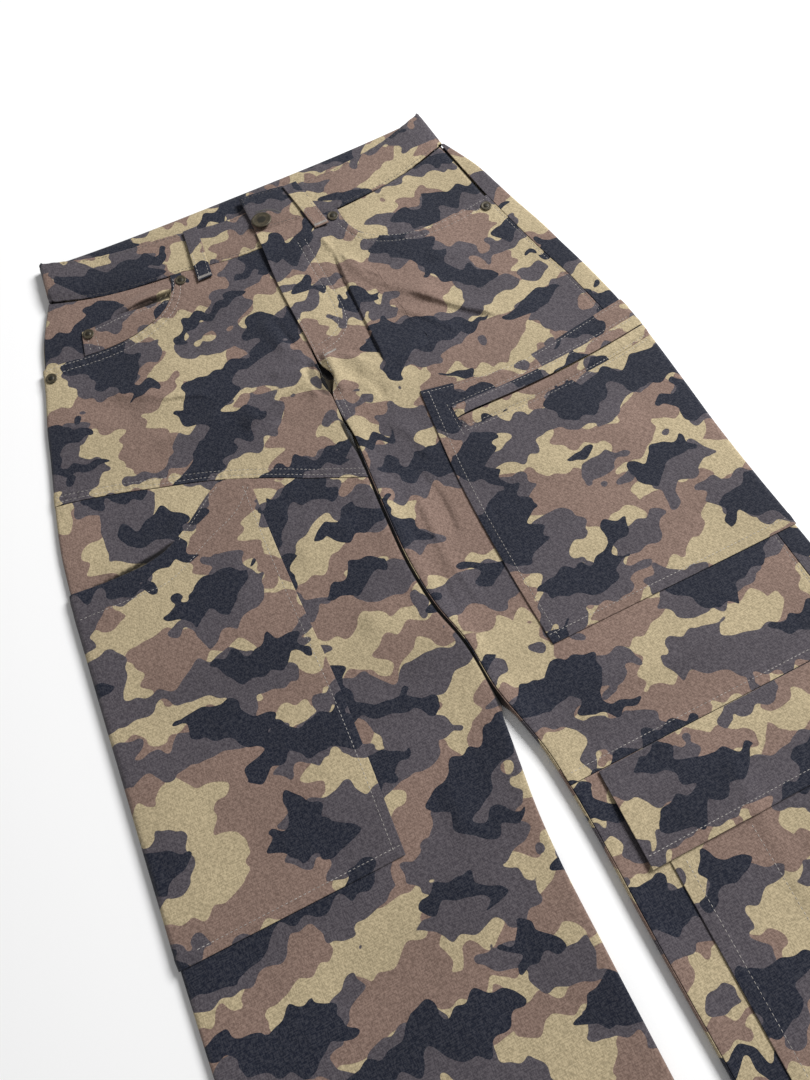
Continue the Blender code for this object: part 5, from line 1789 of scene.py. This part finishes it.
def camouflage_twill():
    """Matte cotton twill with a heathered weave, whose undyed yarn shows a little through
    the print; its colour also carries painted shade where a piece's `dark` attribute says."""
    cloth = Finish("camouflage_twill")
    at = cloth.add("ShaderNodeUVMap", dict(uv_map="cloth"))
    print_ = camouflage(cloth, at)
    warp = cloth.noise(at * WARP, 1.0, 2.0)
    weave = warp + cloth.noise(at * WEFT, 1.0, 2.0)
    heather = weave.step(*WEAVE_SPREAD, 1 - HEATHER, 1 + HEATHER)
    print_ = cloth.mix(weave.step(*WEAVE_SPREAD, 0.0, PALE_YARN), print_, UNDYED)
    fading = cloth.noise(at, 14.0, 3.0).step(0.3, 0.7, 0.94, 1.06)
    # painted shade: the `dark` attribute darkens the base colour in hollows and between the legs
    dark = cloth.add("ShaderNodeAttribute", dict(attribute_name="dark"), output="Fac")
    shade = heather * fading * (dark * -DEEPEST_PAINTED_SHADE + 1.0)
    grey_shade = cloth.add("ShaderNodeCombineColor", {}, dict(Red=shade, Green=shade, Blue=shade))
    print_ = cloth.mix(1.0, print_, grey_shade, "MULTIPLY")
    press = cloth.noise(at * (1.0, 0.7, 1.0), 95.0, 3.0, 0.55)
    ribs = cloth.add("ShaderNodeTexWave", dict(bands_direction="DIAGONAL"), {
        "Vector": at, "Scale": 210.0, "Distortion": 0.6, "Detail": 1.0})
    relief = cloth.bump(press, PRESS_WRINKLES)
    relief = cloth.bump(ribs * 0.6 + weave * 0.7, WEAVE, relief)
    return cloth.shade({
        "Base Color": print_, "Roughness": (warp * 0.2) + 0.76, "Normal": relief,
        "Sheen Weight": 0.12, "Sheen Roughness": 0.5, "Specular IOR Level": 0.25})


def sewing_thread(name, pale, dark):
    """Dull sewing thread, between two shades."""
    thread = Finish(name)
    at = thread.add("ShaderNodeTexCoord", output="Object")
    ply = thread.noise(at, 2600.0, 1.0)
    tint = thread.mix(thread.noise(at, 60.0, 1.0).step(0.35, 0.65), colour(pale), colour(dark))
    return thread.shade({
        "Base Color": tint, "Roughness": 0.7, "Normal": thread.bump(ply, 0.0001),
        "Sheen Weight": 0.2})


def darkened_brass():
    """Brass darkened by wear and dull: blackest in the middle of each piece."""
    metal = Finish("darkened_brass")
    at = metal.add("ShaderNodeTexCoord", output="Object")
    out = metal.add("ShaderNodeAttribute", dict(attribute_name="edge"), output="Fac")
    patina = metal.noise(at, 420.0, 4.0, 0.6)
    tint = metal.mix(patina.step(0.4, 0.62), colour("3f3a2e"), colour("544c3c"))
    tint = metal.mix(out.step(0.34, 0.5, 0.85, 0.0), tint, colour("23221d"))
    return metal.shade({
        "Base Color": tint, "Metallic": 0.35, "Roughness": patina.step(0.3, 0.7, 0.6, 0.42),
        "Normal": metal.bump(patina, 0.00012)})


def plain(name, tint, roughness):
    """A finish of one colour."""
    return Finish(name).shade({"Base Color": tint, "Roughness": roughness})


# ---- The dressed garment ----------------------------------------------------------
def dress():
    """Makes every piece, gives it its finish, hangs it on the body and hides the model's part that
    it stands for.
    """
    make_waistband()
    make_front_loops()
    make_back_loops()
    make_fronts()
    make_backs()
    make_facings()
    make_thigh_pockets()
    make_lower_pocket()
    twill, brass = camouflage_twill(), darkened_brass()
    pale_thread = sewing_thread("topstitch_thread", "b5b0aa", "96918c")
    dark_thread = sewing_thread("band_thread", "5a5653", "494644")
    for name, cloth in PIECES.items():
        cloth.data.materials.append(twill)
        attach(cloth, BODY)
        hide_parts(name)
        if name in ROWS:
            thread = sew(name, ROWS[name])
            thread.data.materials.append(dark_thread if name == "waistband" else pale_thread)
            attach(thread, BODY)
    for name, piece in make_metal().items():
        piece.data.materials.append(brass)
        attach(piece, BODY)
        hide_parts(name)


def make_floor():
    """A plain pale floor."""
    half = FLOOR_HALF
    corners = np.array([(-half, -half, FLOOR_Z), (half, -half, FLOOR_Z),
                        (half, half, FLOOR_Z), (-half, half, FLOOR_Z)])
    floor = make_mesh("floor", corners, [(0, 1, 2, 3)])
    floor.data.materials.append(plain("pale_floor", (0.96, 0.96, 0.96, 1.0), 0.9))


def soft_light(name, spot, size, power, aim=(0.0, 0.0, 0.0)):
    """A square of soft light that looks at a point."""
    data = bpy.data.lights.new(name, "AREA")
    data.shape, data.size, data.energy = "SQUARE", size, power
    made = bpy.data.objects.new(name, data)
    made.location = spot
    made.rotation_euler = (Vector(aim) - Vector(spot)).to_track_quat("-Z", "Y").to_euler()
    bpy.context.scene.collection.objects.link(made)


def make_studio():
    """Plain soft studio light: a key from beyond the waist and the wearer's left, a weak
    fill across from it, and an even pale surround."""
    soft_light("key", KEY_SPOT, KEY_SIZE, KEY_POWER, KEY_AIM)
    soft_light("fill", FILL_SPOT, FILL_SIZE, FILL_POWER)
    world = bpy.data.worlds.new("surround")
    world.use_nodes = True
    surround = world.node_tree.nodes["Background"]
    surround.inputs["Color"].default_value = (1.0, 1.0, 1.0, 1.0)
    surround.inputs["Strength"].default_value = SURROUND
    bpy.context.scene.world = world
    bpy.context.scene.view_settings.view_transform = "Standard"


def make_camera():
    """A camera close above the waist, looking down along the legs' left."""
    data = bpy.data.cameras.new("camera")
    data.lens, data.sensor_width, data.sensor_fit = CAMERA_LENS, CAMERA_SENSOR, "AUTO"
    data.clip_start = 0.02
    forward = Vector(CAMERA_FORWARD).normalized()
    up = Vector(CAMERA_UP)
    up = (up - forward * up.dot(forward)).normalized()
    turn = Matrix((forward.cross(up), up, -forward)).transposed()
    camera = bpy.data.objects.new("camera", data)
    camera.matrix_world = Matrix.Translation(CAMERA_SPOT) @ turn.to_4x4()
    bpy.context.scene.collection.objects.link(camera)
    bpy.context.scene.camera = camera


dress()
make_floor()
make_studio()
make_camera()
